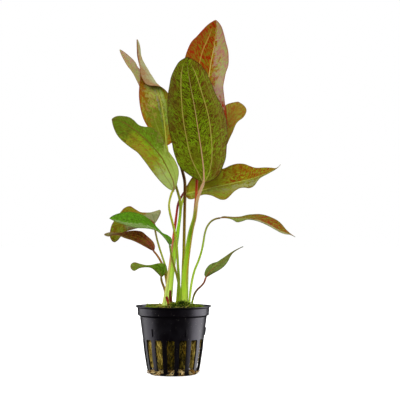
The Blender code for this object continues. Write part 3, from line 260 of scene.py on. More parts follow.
        (-1.6, -7.1, 87, 1.1, 1), (-2.4, -7.5, 92.4, 1.1, 1)), (
        ((-2, -7.6, 93), (-0.9, -7.2, 95.3), (-1.4, -6.8, 98), (-4.3, -6.5, 100.3), (-7.5, -6.5, 101.5),
         (-10, -6.6, 104), (-13.5, -6.9, 108), (-18, -7.5, 112.1), (-22.5, -8.4, 114.8),
         (-28, -9.8, 116.5), (-34, -11.8, 116.7), (-39, -14, 115.6), (-43, -16.2, 113.9),
         (-45, -17.8, 112.2)),
        ((-2.4, -8, 92.9), (-3.7, -9, 96.3), (-6.5, -10, 99.6), (-10.5, -11, 103.2), (-15.5, -12, 106.3),
         (-21, -13, 108.2), (-27, -14.2, 109.3), (-33, -15.4, 110), (-39.5, -16.7, 110.9), (-45, -18, 112)),
        ((-2.8, -8.2, 92.9), (-3.8, -9.6, 94.5), (-5.5, -10.9, 97), (-8.5, -12.2, 100.6),
         (-12, -13.4, 103.2), (-16, -14.3, 104.5), (-20.5, -15, 105), (-25, -15.8, 105.1),
         (-30, -16.7, 106.1), (-35, -17.5, 107.7), (-40, -18.1, 109.5), (-45, -18.2, 111.8)))),
    LeafShape("low_olive", "stalk_green", (
        (-2, 5.2, 48.3, 1.7, 1.5), (-2.4, 4.9, 56, 1.5, 1.4), (-3.3, 4.5, 64, 1.4, 1.3),
        (-4.6, 4.3, 71.5, 1.3, 1.2), (-6.3, 4.4, 78.5, 1.2, 1.2), (-8.4, 4.8, 85, 1.1, 1.1),
        (-10.4, 5.2, 91, 1.1, 1.1), (-12.2, 5.6, 97.5, 1, 1), (-13.5, 6, 104, 1, 1),
        (-13.9, 6.3, 107.6, 1, 1)), (
        ((-13.8, 6.6, 108.4), (-11, 6.2, 112.5), (-9.3, 6.4, 117.2), (-10.2, 7.2, 118.6),
         (-13.5, 8, 116.9), (-18, 9, 116.1), (-24, 10.3, 116.9), (-28.5, 11.2, 119.3), (-32, 11.6, 121.2),
         (-36, 11.4, 120), (-39.8, 10.8, 116), (-43, 10, 111.5), (-45.5, 9, 107), (-46.5, 8, 102.5),
         (-46.3, 7.3, 98), (-44.3, 7, 95.2)),
        ((-14.1, 6.4, 108.2), (-17, 6.5, 111), (-22, 7, 113.6), (-28, 7.6, 114.6), (-34, 7.8, 113),
         (-39, 7.6, 108.6), (-42, 7.3, 102.5), (-43.7, 7, 95)),
        ((-14.3, 6.2, 108.1), (-18, 5.2, 107), (-23, 4.6, 105.7), (-28, 4.3, 104.6), (-33, 4.3, 103.2),
         (-36.7, 4.6, 101.5), (-38.5, 5.2, 99), (-40.5, 6, 96.3), (-43.1, 6.8, 94.8)))),
    LeafShape("low_red", "stalk_dark", (
        (-4.2, 6.2, 48.3, 1.6, 1.4), (-4.4, 6, 56, 1.4, 1.3), (-4.9, 5.2, 63, 1.3, 1.2),
        (-5.6, 3.6, 69, 1.3, 1.2), (-6.6, 2.2, 74.5, 1.3, 1.2), (-8.2, 0.9, 79, 1.2, 1.2),
        (-10.2, -0.2, 83, 1.2, 1.1), (-12.3, -1, 86.2, 1.1, 1.1), (-13.9, -1.5, 88.1, 1.1, 1.1)), (
        ((-14, -1.9, 88.9), (-13.3, -1.6, 91.5), (-14.2, -1.5, 94.8), (-16.5, -1.7, 97.4),
         (-19.3, -2, 99.7), (-22.5, -2.6, 102.5), (-26, -3.4, 103.4), (-31, -4.5, 103.2),
         (-36, -5.5, 102.2), (-41, -6.5, 101.9), (-45.5, -7.3, 102.2), (-49.3, -8, 101)),
        ((-14.3, -2.1, 88.7), (-17.5, -4, 92.5), (-21.5, -5, 96), (-26.5, -5.9, 98.4),
         (-32.5, -6.8, 99.9), (-39, -7.6, 100.9), (-44, -8, 100.7), (-49.5, -8.3, 100.6)),
        ((-14.7, -2.2, 88.6), (-17.5, -4.6, 90.1), (-21, -6, 92.1), (-25, -7, 94.3), (-30, -8, 96.5),
         (-35, -8.7, 98.1), (-39.5, -9, 99.9), (-43, -8.8, 99.9), (-46.5, -8.6, 99.1),
         (-49.3, -8.4, 100.1)))),
    LeafShape("low_waisted", "stalk_green", (
        (-5.9, 3.6, 48.3, 1.7, 1.5), (-5.8, 3.5, 54, 1.6, 1.4), (-6.2, 3.1, 59.5, 1.4, 1.3),
        (-7.2, 2.3, 63, 1.3, 1.3), (-8.4, 1.3, 66.2, 1.3, 1.2), (-8.9, 0.4, 69.1, 1.2, 1.1)), (
        ((-8.6, 0.2, 69.7), (-6.4, -0.3, 71.5), (-4.9, -0.8, 74.5), (-4.7, -1.2, 77), (-5.9, -1.4, 79.3),
         (-8.5, -1.6, 79.9), (-12, -2, 79.5), (-16, -2.6, 78.7), (-20, -3.3, 78.6), (-24, -4, 79.5),
         (-28, -4.8, 80.6), (-30.4, -5.5, 79.3)),
        ((-8.9, 0.1, 69.6), (-9.2, -1.2, 73.2), (-11.5, -2.3, 76.5), (-15.5, -3.2, 77.7), (-20, -4, 77.9),
         (-25, -4.8, 78), (-30.8, -5.7, 77.8)),
        ((-9.2, 0, 69.6), (-10.6, -0.5, 71.5), (-12.8, -1.5, 73.8), (-15, -2.5, 75.8),
         (-17.5, -3.2, 76.8), (-21, -3.9, 76.9), (-24.5, -4.6, 76.2), (-28.3, -5.3, 74.4),
         (-30.6, -5.8, 76.5)))),
)


# Curves, noise and other arrays


def unit(vectors: Array) -> Array:
    """Scale each vector to length one."""
    return vectors / np.maximum(np.linalg.norm(vectors, axis=-1, keepdims=True), 1e-12)


def triples(x: object, y: object, z: object) -> Array:
    """Three arrays or numbers, stretched to one shape and set side by side."""
    return np.stack(np.broadcast_arrays(x, y, z), axis=-1)


def polar(radius: object, angle: object, height: object) -> Array:
    """Points at a radius and an angle in degrees from straight ahead, positive to the right."""
    turn = np.radians(angle)
    return triples(radius * np.sin(turn), -radius * np.cos(turn), height)


def walked(points: Array, axis: int = 0) -> Array:
    """How far along its line each point lies: the sum of the steps' lengths up to it."""
    steps = np.cumsum(np.linalg.norm(np.diff(points, axis=axis), axis=-1), axis=axis)
    return np.insert(steps, 0, 0.0, axis=axis)


def draws(rng: Generator, count: int) -> tuple:
    """Two ways to draw a column of count numbers: even between two limits, and normal."""
    return partial(rng.uniform, size=(count, 1)), partial(rng.normal, size=(count, 1))


def hermite(knots: Array, values: Array, where: Array) -> Array:
    """Read a smooth curve through values, which stand at knots, at the places in where.

    Each stretch is the cubic whose ends and slopes match its neighbours':
    (1 + 2t)(1 - t)^2 a + t(1 - t)^2 l p + t^2(3 - 2t) b + t^2(t - 1) l q.

    Args:
        knots: Rising parameters of the values.
        values: Values, one row for each knot.
        where: Parameters to read at.

    Returns:
        One row of values for each place.
    """
    slopes = np.gradient(values, knots, axis=0, edge_order=2 if len(knots) > 2 else 1)
    cell = np.clip(np.searchsorted(knots, where, side="right") - 1, 0, len(knots) - 2)
    length = (knots[cell + 1] - knots[cell]).reshape((-1,) + (1,) * (values.ndim - 1))
    t = ((where - knots[cell]) / (knots[cell + 1] - knots[cell])).reshape(length.shape)
    return (
        (1 + 2 * t) * (1 - t) ** 2 * values[cell]
        + t * (1 - t) ** 2 * length * slopes[cell]
        + t ** 2 * (3 - 2 * t) * values[cell + 1]
        + t ** 2 * (t - 1) * length * slopes[cell + 1]
    )


def smooth_curve(points: tuple, count: int) -> Array:
    """Space count points evenly along a smooth curve through the points of a table.

    The curve's parameter grows by the square root of each chord, which keeps it from looping.

    Args:
        points: Table whose first three columns are x, y and z.
        count: Number of points wanted.

    Returns:
        The points, with any further columns of the table carried along.
    """
    table = np.array(points, dtype=float)
    chord = np.linalg.norm(np.diff(table[:, :3], axis=0), axis=1)
    knots = np.insert(np.cumsum(np.sqrt(chord)), 0, 0.0)
    fine = np.linspace(0.0, knots[-1], 30 * len(table))
    run = walked(hermite(knots, table, fine)[:, :3])
    return hermite(knots, table, np.interp(np.linspace(0.0, run[-1], count), run, fine))


def ripple(points: Array, size: float | tuple, seed: int) -> Array:
    """Smooth seeded noise, about -1 to 1: forty sine waves in random directions, summed.

    Args:
        points: Places, three numbers each.
        size: Wavelength, one number or one for each axis.
        seed: Seed of the directions and phases.

    Returns:
        One value for each place.
    """
    rng = np.random.default_rng(seed)
    waves = unit(rng.normal(size=(40, 3))) * rng.uniform(0.7, 1.5, (40, 1))
    phases = rng.uniform(0.0, 2 * math.pi, 40)
    return np.sin((points / np.asarray(size)) @ (2 * math.pi * waves.T) + phases).sum(axis=-1) / 8.0


# Meshes


def grid_quads(rows: int, columns: int, wrap: bool = False) -> Array:
    """Quads of a grid of vertices that are numbered row by row.

    Args:
        rows: Number of rows.
        columns: Vertices in a row.
        wrap: Whether each row closes on itself.

    Returns:
        Four vertex numbers for each quad.
    """
    r = np.arange(rows - 1)[:, None] * columns
    c = np.arange(columns if wrap else columns - 1)
    d = (c + 1) % columns
    return np.stack([r + c, r + d, r + columns + d, r + columns + c], axis=-1).reshape(-1, 4)


def new_object(name: str, data: bpy.types.ID) -> bpy.types.Object:
    """Make an object of the scene.

    Args:
        name: Its name.
        data: Its mesh, light or camera.

    Returns:
        The object, at the origin.
    """
    made = bpy.data.objects.new(name, data)
    bpy.context.scene.collection.objects.link(made)
    return made


def tube_faces(rows: int, columns: int) -> list:
    """Faces of a grid whose rows close on themselves: its quads and a cap at either end."""
    cap = np.arange(columns)[None]
    return [grid_quads(rows, columns, True), cap[:, ::-1], cap + (rows - 1) * columns]


@dataclass
class Skin:
    """A mesh in the making, in millimetres, with values that ride on its vertices.

    Its faces are arrays of vertex numbers, each of faces with one number of corners.
    """

    points: Array
    faces: list
    values: dict

    def __post_init__(self) -> None:
        """Turn grids of points and of values into one row for each vertex."""
        self.points = self.points.reshape(-1, 3)
        self.values = {key: v.reshape(len(self.points), -1) for key, v in self.values.items()}

    @staticmethod
    def joined(skins: list) -> "Skin":
        """Put several skins side by side in one.

        Args:
            skins: Skins with the same values on them.

        Returns:
            One skin that holds them all.
        """
        starts = np.cumsum([0] + [len(s.points) for s in skins])
        values = {key: np.concatenate([s.values[key] for s in skins]) for key in skins[0].values}
        return Skin(np.concatenate([s.points for s in skins]),
                    [f + start for s, start in zip(skins, starts) for f in s.faces], values)

    @staticmethod
    def shell(first: Array, second: Array, quads: Array, rim: Array,
              **values: Array) -> "Skin":
        """Two like grids back to back, joined by a strip of quads along a rim.

        Args:
            first: Points of the grid in front.
            second: Points of the grid behind, whose faces are turned round.
            quads: Faces of the grid in front.
            rim: Its vertices along the rim in order; with none the grids aren't joined.
            values: Values of both grids by name.

        Returns:
            The skin of both.
        """
        offset = first.size // 3
        after = np.roll(rim, -1)
        strip = np.stack([after, rim, rim + offset, after + offset], axis=-1)
        return Skin(np.stack([first, second]), [quads, quads[:, ::-1] + offset, strip], values)

    def welded(self) -> "Skin":
        """Make points that fall on one another one.

        Returns:
            The welded skin.
        """
        _, first, which = np.unique(np.round(self.points, 4) + 0.0, axis=0,
                                    return_index=True, return_inverse=True)
        values = {key: value[first] for key, value in self.values.items()}
        return Skin(self.points[first], [which.ravel()[f] for f in self.faces], values)

    def volume(self) -> float:
        """Signed volume: the sum over the faces' triangles of a . (b x c) / 6."""
        fans = [[self.points[f[:, k]] for k in (slice(0, 1), slice(1, -1), slice(2, None))]
                for f in self.faces]
        return sum(float((a * np.cross(b, c)).sum()) / 6.0 for a, b, c in fans)

    def piece(self, name: str, finish: "Finish", slot: str, node: str,
              sharp: float = 40.0) -> bpy.types.Object:
        """Make the skin a finished piece of the plant, with its faces looking out.

        Args:
            name: Name of the piece, and in plain words of its material.
            finish: What it looks like.
            slot: The record's material slot of the piece; not used.
            node: The solid that it stands for.
            sharp: Angle in degrees past which an edge is shaded sharp.

        Returns:
            The new object, which rides on the plant's body.
        """
        faces = self.faces if self.volume() > 0 else [f[:, ::-1] for f in self.faces]
        mesh = bpy.data.meshes.new(name)
        mesh.from_pydata((self.points * MM).tolist(), [], [row for f in faces for row in f.tolist()])
        for key, value in self.values.items():
            kind, field = ("FLOAT", "value") if value.shape[1] == 1 else ("FLOAT_VECTOR", "vector")
            layer = mesh.attributes.new(key, kind, "POINT")
            layer.data.foreach_set(field, value.astype(np.float32).ravel())
        mesh.materials.append(finish.build(name.replace("_", " ")))
        mesh.shade_smooth()
        mesh.set_sharp_from_angle(angle=math.radians(sharp))
        made = new_object(name, mesh)
        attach(made, BODY)
        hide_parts(node)
        return made


def tube(centre: Array, across: Array, along: Array, size: Array,
         sides: int, lobes: float = 0.0) -> Skin:
    """Carry an oval along a line: centre + across w/2 cos a + along d/2 sin a.

    Args:
        centre: The line's points.
        across: Unit vector of the oval's width at each point.
        along: Unit vector of its depth.
        size: Width and depth at each point.
        sides: Points round the oval.
        lobes: Share by which five shallow ridges stand out.

    Returns:
        The closed tube, with stalk_share = (to the right, along, to the back) on it.
    """
    turn = (np.arange(sides) * 2 * math.pi / sides)[:, None]
    swell = 1.0 + lobes * np.cos(5 * turn + 0.6)
    offset = (
        across[:, None] * size[:, None, :1] / 2 * (swell * np.cos(turn))
        + along[:, None] * size[:, None, 1:] / 2 * (swell * np.sin(turn))
    )
    share = np.linspace(0.0, 1.0, len(centre))[:, None]
    way = unit(offset)
    return Skin(centre[:, None] + offset, tube_faces(len(centre), sides), {
        "stalk_share": triples(way[..., 0], share, way[..., 1]),
        "stalk_run": np.repeat(walked(centre), sides),
    })


def strands(centres: Array, widths: Array, tone: Array, sides: int) -> Skin:
    """Many thin tubes at once: centre + (guide cos a + other sin a) w/2 along each line.

    Args:
        centres: Lines, one row of points for each strand.
        widths: Diameter at each point.
        tone: Three numbers for each strand or for each of its points, for fibre_tone.
        sides: Sides of each tube.

    Returns:
        One skin that holds every strand, each closed at both ends.
    """
    count, rings = centres.shape[:2]
    tangent = unit(np.gradient(centres, axis=1))
    guide = unit(np.cross(tangent, unit(np.array([0.31, 0.52, 0.80]))))[:, :, None]
    other = np.cross(tangent[:, :, None], guide)
    turn = (np.arange(sides) * 2 * math.pi / sides)[:, None]
    offset = (guide * np.cos(turn) + other * np.sin(turn)) * widths[:, :, None, None] / 2
    start = (np.arange(count) * rings * sides)[:, None, None]
    faces = [(f + start).reshape(-1, f.shape[1]) for f in tube_faces(rings, sides)]
    tone = np.repeat(np.broadcast_to(tone, (count, rings, 3)), sides, axis=1)
    return Skin(centres[:, :, None] + offset, faces, {"fibre_tone": tone})


# Shader maths


class Signal:
    """A number that varies over a surface: a node's socket that takes Python's operators."""

    def __init__(self, nodes: "Nodes", socket: Socket) -> None:
        """Wrap a socket of a tree of nodes."""
        self.nodes = nodes
        self.socket = socket

    def math(self, operation: str, *values: object) -> "Signal":
        """A Math node of these values, in order."""
        made = self.nodes.node("ShaderNodeMath", {"operation": operation}, dict(enumerate(values)))
        return Signal(self.nodes, made.outputs[0])

    def __add__(self, other: object) -> "Signal":
        """Sum."""
        return self.math("ADD", self, other)

    __radd__ = __add__

    def __sub__(self, other: object) -> "Signal":
        """Difference."""
        return self.math("SUBTRACT", self, other)

    def __rsub__(self, other: object) -> "Signal":
        """Difference, the other way round."""
        return self.math("SUBTRACT", other, self)

    def __mul__(self, other: object) -> "Signal":
        """Product."""
        return self.math("MULTIPLY", self, other)

    __rmul__ = __mul__

    def __abs__(self) -> "Signal":
        """Size without sign."""
        return self.math("ABSOLUTE", self)

    def sine(self) -> "Signal":
        """Sine of an angle in radians."""
        return self.math("SINE", self)

    def rise(self, low: float, high: float) -> "Signal":
        """A smooth step from 0 at low to 1 at high."""
        made = self.nodes.node("ShaderNodeMapRange", {"interpolation_type": "SMOOTHSTEP"},
                               {"Value": self, "From Min": low, "From Max": high})
        return Signal(self.nodes, made.outputs[0])

    def fall(self, low: float, high: float) -> "Signal":
        """A smooth step from 1 at low to 0 at high."""
        return 1.0 - self.rise(low, high)

    def between(self, low: float, high: float, soft: float) -> "Signal":
        """1 between two limits and 0 past them, with steps as wide as soft to either side."""
        return self.rise(low - soft, low + soft) * self.fall(high - soft, high + soft)


class Nodes:
    """A tree of nodes in the making."""

    def __init__(self, tree: bpy.types.NodeTree) -> None:
        """Take the tree that the nodes go into."""
        self.tree = tree

    def plug(self, socket: Socket, value: object) -> None:
        """Link a Signal or a socket to a node's socket, or set the socket's own value.

        Args:
            socket: Socket to fill.
            value: What fills it; three numbers for a colour socket are a display colour.
        """
        value = getattr(value, "socket", value)
        if isinstance(value, Socket):
            self.tree.links.new(value, socket)
        else:
            socket.default_value = linear(value) if socket.type == "RGBA" else value

    def node(self, kind: str, settings: dict | None = None, inputs: dict | None = None) -> bpy.types.Node:
        """Add a node: its settings first, then the values or links of its sockets.

        Args:
            kind: Blender's name for the node's type.
            settings: Properties by name; "stops" fills a colour ramp with (place, colour).
            inputs: Sockets by name or number, each a value, a Signal or another node's socket.

        Returns:
            The node.
        """
        made = self.tree.nodes.new(kind)
        for key, value in (settings or {}).items():
            if key == "stops":
                self.fill_ramp(made.color_ramp, value)
            else:
                setattr(made, key, value)
        for key, value in (inputs or {}).items():
            self.plug(made.inputs[key], value)
        return made

    def fill_ramp(self, ramp: bpy.types.ColorRamp, stops: tuple) -> None:
        """Fill a colour ramp.

        Args:
            ramp: Ramp with two stops or more.
            stops: Its stops as (place, colour), from 0 up.
        """
        while len(ramp.elements) < len(stops):
            ramp.elements.new(0.5)
        for element, (place, colour) in zip(ramp.elements, stops):
            element.position = place
            element.color = linear(colour)


class Shader(Nodes):
    """The nodes of one material."""

    def __init__(self, name: str) -> None:
        """Start a material that holds only its Principled shader and its output."""
        self.material = bpy.data.materials.new(name)
        self.material.use_nodes = True
        super().__init__(self.material.node_tree)
        self.surface = self.tree.nodes["Principled BSDF"]

    def split(self, vector: Socket) -> tuple[Signal, Signal, Signal]:
        """The three numbers of a vector."""
        parts = self.node("ShaderNodeSeparateXYZ", None, {0: vector})
        return tuple(Signal(self, part) for part in parts.outputs)

    def attribute(self, name: str) -> tuple[Signal, Signal, Signal]:
        """The three numbers of a vector that rides on the mesh."""
        return self.split(self.node("ShaderNodeAttribute", {"attribute_name": name}).outputs["Vector"])

    def number(self, name: str) -> Signal:
        """One number that rides on the mesh."""
        return Signal(self, self.node("ShaderNodeAttribute", {"attribute_name": name}).outputs["Fac"])

    def place(self) -> Socket:
        """The point in the object's own space, in metres."""
        return self.node("ShaderNodeTexCoord").outputs["Object"]

    def vector(self, x: object, y: object, z: object) -> Socket:
        """A vector of three numbers."""
        return self.node("ShaderNodeCombineXYZ", None, {0: x, 1: y, 2: z}).outputs[0]

    def drawn(self, vector: Socket, share: float) -> Socket:
        """A vector whose height counts for only a share, so that a pattern is drawn out upward."""
        made = self.node("ShaderNodeVectorMath", {"operation": "MULTIPLY"}, {0: vector, 1: (1.0, 1.0, share)})
        return made.outputs[0]

    def noise(self, where: Socket, scale: float, detail: float = 2.0,
              roughness: float = 0.5, distortion: float = 0.0) -> Signal:
        """Cloudy noise, about 0.3 to 0.7, whose features are about 1 / scale across.

        Args:
            where: Place that it is read at.
            scale: Features in a unit of the place.
            detail: Number of finer layers.
            roughness: Share of each finer layer.
            distortion: How far the pattern is stirred.

        Returns:
            The noise.
        """
        made = self.node("ShaderNodeTexNoise", None, {
            "Vector": where, "Scale": scale, "Detail": detail,
            "Roughness": roughness, "Distortion": distortion,
        })
        return Signal(self, made.outputs[0])

    def layers(self, colour: object, *over: tuple) -> Socket:
        """Lay colours over one another.

        Args:
            colour: The ground, a colour or a socket.
            over: Each layer as its colour and its share, from 0, clear, to 1.

        Returns:
            The blended colour.
        """
        for top, share in over:
            made = self.node("ShaderNodeMix", {"data_type": "RGBA", "clamp_factor": True},
                             {0: share, 6: colour, 7: top})
            colour = made.outputs[2]
        return colour

    def ramp(self, share: Signal, stops: tuple) -> Socket:
        """A colour read from stops at a share from 0 to 1."""
        return self.node("ShaderNodeValToRGB", {"stops": stops}, {0: share}).outputs[0]

    def bump(self, height: Signal, depth: float, strength: float) -> None:
        """Feed the surface's normal from a height; depth in metres is what a height of 1 is."""
        made = self.node("ShaderNodeBump", None, {"Height": height, "Distance": depth, "Strength": strength})
        self.feed(Normal=made.outputs[0])

    def feed(self, **sockets: object) -> None:
        """Fill the Principled shader's sockets; an underscore stands for a space."""
        for key, value in sockets.items():
            self.plug(self.surface.inputs[key.replace("_", " ")], value)


# Finishes


@dataclass(frozen=True)
class Finish:
    """A finish of the plant; each kind of it lays its own nodes."""

    def build(self, name: str) -> bpy.types.Material:
        """A new material with this finish."""
        shader = Shader(name)
        self.lay(shader)
        return shader.material

    def lay(self, s: Shader) -> None:
        """Lay the finish's nodes in a material's shader."""
        raise NotImplementedError


@dataclass(frozen=True)
class Patch:
    """A soft-edged area of a blade, in shares: 0 foot to 1 tip, -1 first edge to 1 second."""

    colour: Colour
    strength: float
    along: tuple = (-1.0, 2.0)
    across: tuple = (-3.0, 3.0)
    soft: float = 0.12
    ragged: float = 0.35
    fleck: Colour | None = None
    lean: float = 0.0  # how far the area moves across for each share along

    def mask(self, across: Signal, along: Signal, blotch: Signal) -> Signal:
        """Where the patch lies, from 0 to 1, its edges frayed by blotchy noise.

        Args:
            across: Share across the blade.
            along: Share along it.
            blotch: The noise.

        Returns:
            The patch's share of the surface.
        """
        fray = (blotch - 0.5) * self.ragged
        sideways = across + fray * 1.5 - (along - 0.5) * self.lean
        inside = (along + fray).between(*self.along, self.soft)
        return inside * sideways.between(*self.across, self.soft) * self.strength


@dataclass(frozen=True)
class BladeFinish(Finish):
    """Colours of one blade, seen face first."""

    ground: Colour
    mottle: Colour
    fleck: Colour
    nerve: Colour
    margin: Colour
    patches: tuple = ()
    under: Colour = (132, 148, 60)
    under_mottle: Colour = (154, 104, 70)
    under_vein: Colour = (176, 188, 106)
    under_nerve: Colour = (190, 194, 120)
    mottle_share: float = 0.5
    fleck_share: float = 0.75
    nerves: tuple = ((-0.5, 0.3), (0.5, 0.25))  # share across and strength of each
    roughness: float = 0.36
    scale: float = 0.95  # flecks in a millimetre, across them
    under_patches: tuple = ()  # areas of the hidden face

    def lay(self, s: Shader) -> None:
        """Lay ground, mottle, patches, worm-like flecks, veins, nerves and margin in turn.

        The flecks are noise drawn out along the cross veins, which leave the midrib aslant.

        Args:
            s: Shader of a mesh with leaf_share, leaf_mm and leaf_edge on it.
        """
        across, along, side = s.attribute("leaf_share")
        across_mm, along_mm, half_mm = s.attribute("leaf_mm")
        edge_mm = s.number("leaf_edge")
        out_mm = abs(across_mm)
        layer = across.rise(-0.02, 0.02) * 30.0 + side * 50.0
        vein_mm = along_mm - out_mm
        flat = s.vector(across_mm, along_mm * 0.7, layer)
        cloud = s.noise(flat, 0.12, 3.0, 0.55, 0.4)
        blotch = s.noise(flat, 0.42, 2.0, 0.5, 0.8)
        worm = s.noise(s.vector(vein_mm, out_mm * 0.30 + along_mm * 0.10, layer), self.scale, 1.0, 0.5, 1.3)
        speck = s.noise(s.vector(across_mm, along_mm * 0.5, layer), self.scale * 1.6, 1.0, 0.5, 0.8)
        vein = abs((vein_mm * 1.7 + blotch * 5.0).sine()).fall(0.0, 0.24)

        low = 0.62 - 0.24 * self.mottle_share
        mottled = (cloud * 0.5 + blotch * 0.5).rise(low - 0.07, low + 0.07)
        top = s.layers(self.ground, (self.mottle, mottled),
                       (self.mottle, worm.fall(0.38, 0.48) * self.mottle_share * 1.3))
        light = self.fleck
        for patch in self.patches:
            mask = patch.mask(across, along, blotch)
            top = s.layers(top, (patch.colour, mask))
            if patch.fleck is not None:
                light = s.layers(light, (patch.fleck, mask))
        most = (cloud - 0.5) * 2.8 + speck + 0.4
        top = s.layers(top, (light, worm.rise(0.47, 0.54) * most * self.fleck_share),
                       (self.nerve, vein * 0.12))

        under = s.layers(self.under, (self.under_mottle, mottled * 0.5 + worm.rise(0.48, 0.60) * 0.35),
                         (self.under_vein, vein * 0.35 + speck.rise(0.55, 0.7) * 0.25),
                         *((patch.colour, patch.mask(across, along, blotch)) for patch in self.under_patches))
        ridge = vein * 0.25
        for place, strength in self.nerves:
            away = abs(across - place) * half_mm
            line = away.fall(0.12, 0.62) * along.fall(0.84, 0.97)
            top = s.layers(top, (self.nerve, line * strength * (speck * 0.5 + 0.75)))
            under = s.layers(under, (self.under_nerve, away.fall(0.15, 0.6) * strength))
            ridge = ridge + line * 0.9 * strength
        keel = out_mm.fall(0.3, 0.95) * along.fall(0.86, 1.0) * 0.9
        top = s.layers(top, (self.margin, edge_mm.fall(0.15, 0.9) * 0.8))
        under = s.layers(under, (self.under_nerve, keel), (self.margin, edge_mm.fall(0.1, 0.6) * 0.6))

        s.feed(Base_Color=s.layers(under, (top, side.rise(-0.4, 0.4))),
               Roughness=blotch * 0.2 + self.roughness, IOR=1.36, Specular_IOR_Level=0.06,
               Subsurface_Weight=0.12, Subsurface_Scale=0.0005, Subsurface_Radius=(1.0, 0.9, 0.35))
        s.bump(ridge + worm * 0.5 + blotch * 0.6, 0.0002, 0.8)


@dataclass(frozen=True)
class StalkFinish(Finish):
    """Colours along one stalk from its foot up, and the tint of its two flanks."""

    stops: tuple
    right: Colour = (150, 110, 50)
    right_share: float = 0.25
    left: Colour = (150, 110, 50)
    left_share: float = 0.15
    tint_along: tuple = (0.25, 1.0)
    dots: float = 0.0
    pale_fibre: Colour = (205, 220, 110)
    dark_fibre: Colour = (80, 90, 10)
    # painted shade along the stalk's left and right edges
    rim: Colour = (74, 78, 6)
    dot: Colour = (60, 25, 5)

    def lay(self, s: Shader) -> None:
        """Lay colour stops along the stalk, tinted flanks, fine length-wise fibres, painted shade at its left
        and right edges, and dots.

        Args:
            s: Shader of a mesh with stalk_share and stalk_run on it.
        """
        right, along, back = s.attribute("stalk_share")
        run = s.number("stalk_run")
        fibre = s.noise(s.vector(right * 2.4, run * 0.10, back * 2.4), 1.6, 3.0, 0.6)
        patchy = s.noise(s.vector(right, run * 0.35, back), 0.35, 3.0)
        low, high = self.tint_along
        span = along.rise(low - 0.1, low + 0.1) * along.fall(high - 0.08, high + 0.1)
        colour = s.layers(s.ramp(along + (patchy - 0.5) * 0.06, self.stops),
                          (self.right, right.rise(0.45, 0.95) * span * self.right_share),
                          (self.left, right.fall(-0.9, -0.35) * span * self.left_share),
                          (self.pale_fibre, fibre.rise(0.55, 0.8) * 0.15),
                          (self.dark_fibre, fibre.fall(0.25, 0.45) * 0.4),
                          # painted shade where the surface faces left or right
                          (self.rim, abs(right).rise(0.72, 1.0) * 0.28))
        if self.dots:
            speck = s.noise(s.vector(right * 2.0, run * 1.2, back * 2.0), 1.0, 1.0)
            colour = s.layers(colour, (self.dot, speck.rise(0.56, 0.66) * self.dots))
        s.feed(Base_Color=colour, Roughness=0.36 + fibre * 0.15, IOR=1.38,
               Subsurface_Weight=0.15, Subsurface_Scale=0.0012,
               Subsurface_Radius=(0.9, 1.0, 0.25), Specular_IOR_Level=0.25)
        s.bump(fibre, 0.00025, 0.7)


@dataclass(frozen=True)
class RibFinish(Finish):
    """Colour of a midrib from foot to tip, with any further stops between them."""

    foot: Colour
    tip: Colour
    between: tuple = ()
    fibre: Colour = (110, 80, 40)

    def lay(self, s: Shader) -> None:
        """Lay colour stops along the rib with fine brown fibres.

        Args:
            s: Shader of a mesh with stalk_share and stalk_run on it.
        """
        right, along, back = s.attribute("stalk_share")
        run = s.number("stalk_run")
        fibre = s.noise(s.vector(right * 2.0, run * 0.3, back * 2.0), 1.6, 2.0)
        stops = ((0.0, self.foot), *self.between, (1.0, self.tip))
        colour = s.layers(s.ramp(along, stops), (self.fibre, fibre.fall(0.3, 0.5) * 0.4))
        s.feed(Base_Color=colour, Roughness=0.42 + fibre * 0.12, IOR=1.42,
               Subsurface_Weight=0.18, Subsurface_Scale=0.001, Specular_IOR_Level=0.4)
        s.bump(fibre, 0.00015, 0.6)


@dataclass(frozen=True)
class PotFinish(Finish):
    """Moulded black plastic, slightly blue, with haze, hair scratches and specks of dust."""

    colour: Colour = (9.9, 7.2, 10.5)
    haze: Colour = (28.6, 27.1, 31.4)
    dust: Colour = (149, 147, 137)
    shine: Colour = (242, 236, 255)

    def lay(self, s: Shader) -> None:
        """Lay black under haze and dust, its roughness and bump from noise drawn out upward.

        Args:
            s: Shader of a mesh at its true place.
        """
        place = s.place()
        scratch = s.noise(s.drawn(place, 0.12), 900.0, 4.0, 0.6)
        haze = s.noise(place, 120.0, 4.0, 0.6)
        speck = s.noise(place, 1500.0, 0.0)
        scuff = s.noise(place, 60.0, 3.0, 0.7, 2.0)
        colour = s.layers(self.colour, (self.haze, haze.rise(0.45, 0.75) * 0.4),
                          (self.dust, speck.rise(0.80, 0.84) * 0.6))
        s.feed(Base_Color=colour, Roughness=0.30 + haze * 0.12 + scuff.rise(0.55, 0.75) * 0.10,
               IOR=1.46, Specular_Tint=self.shine)
        s.bump(scratch * 0.5 + haze, 0.0001, 0.35)


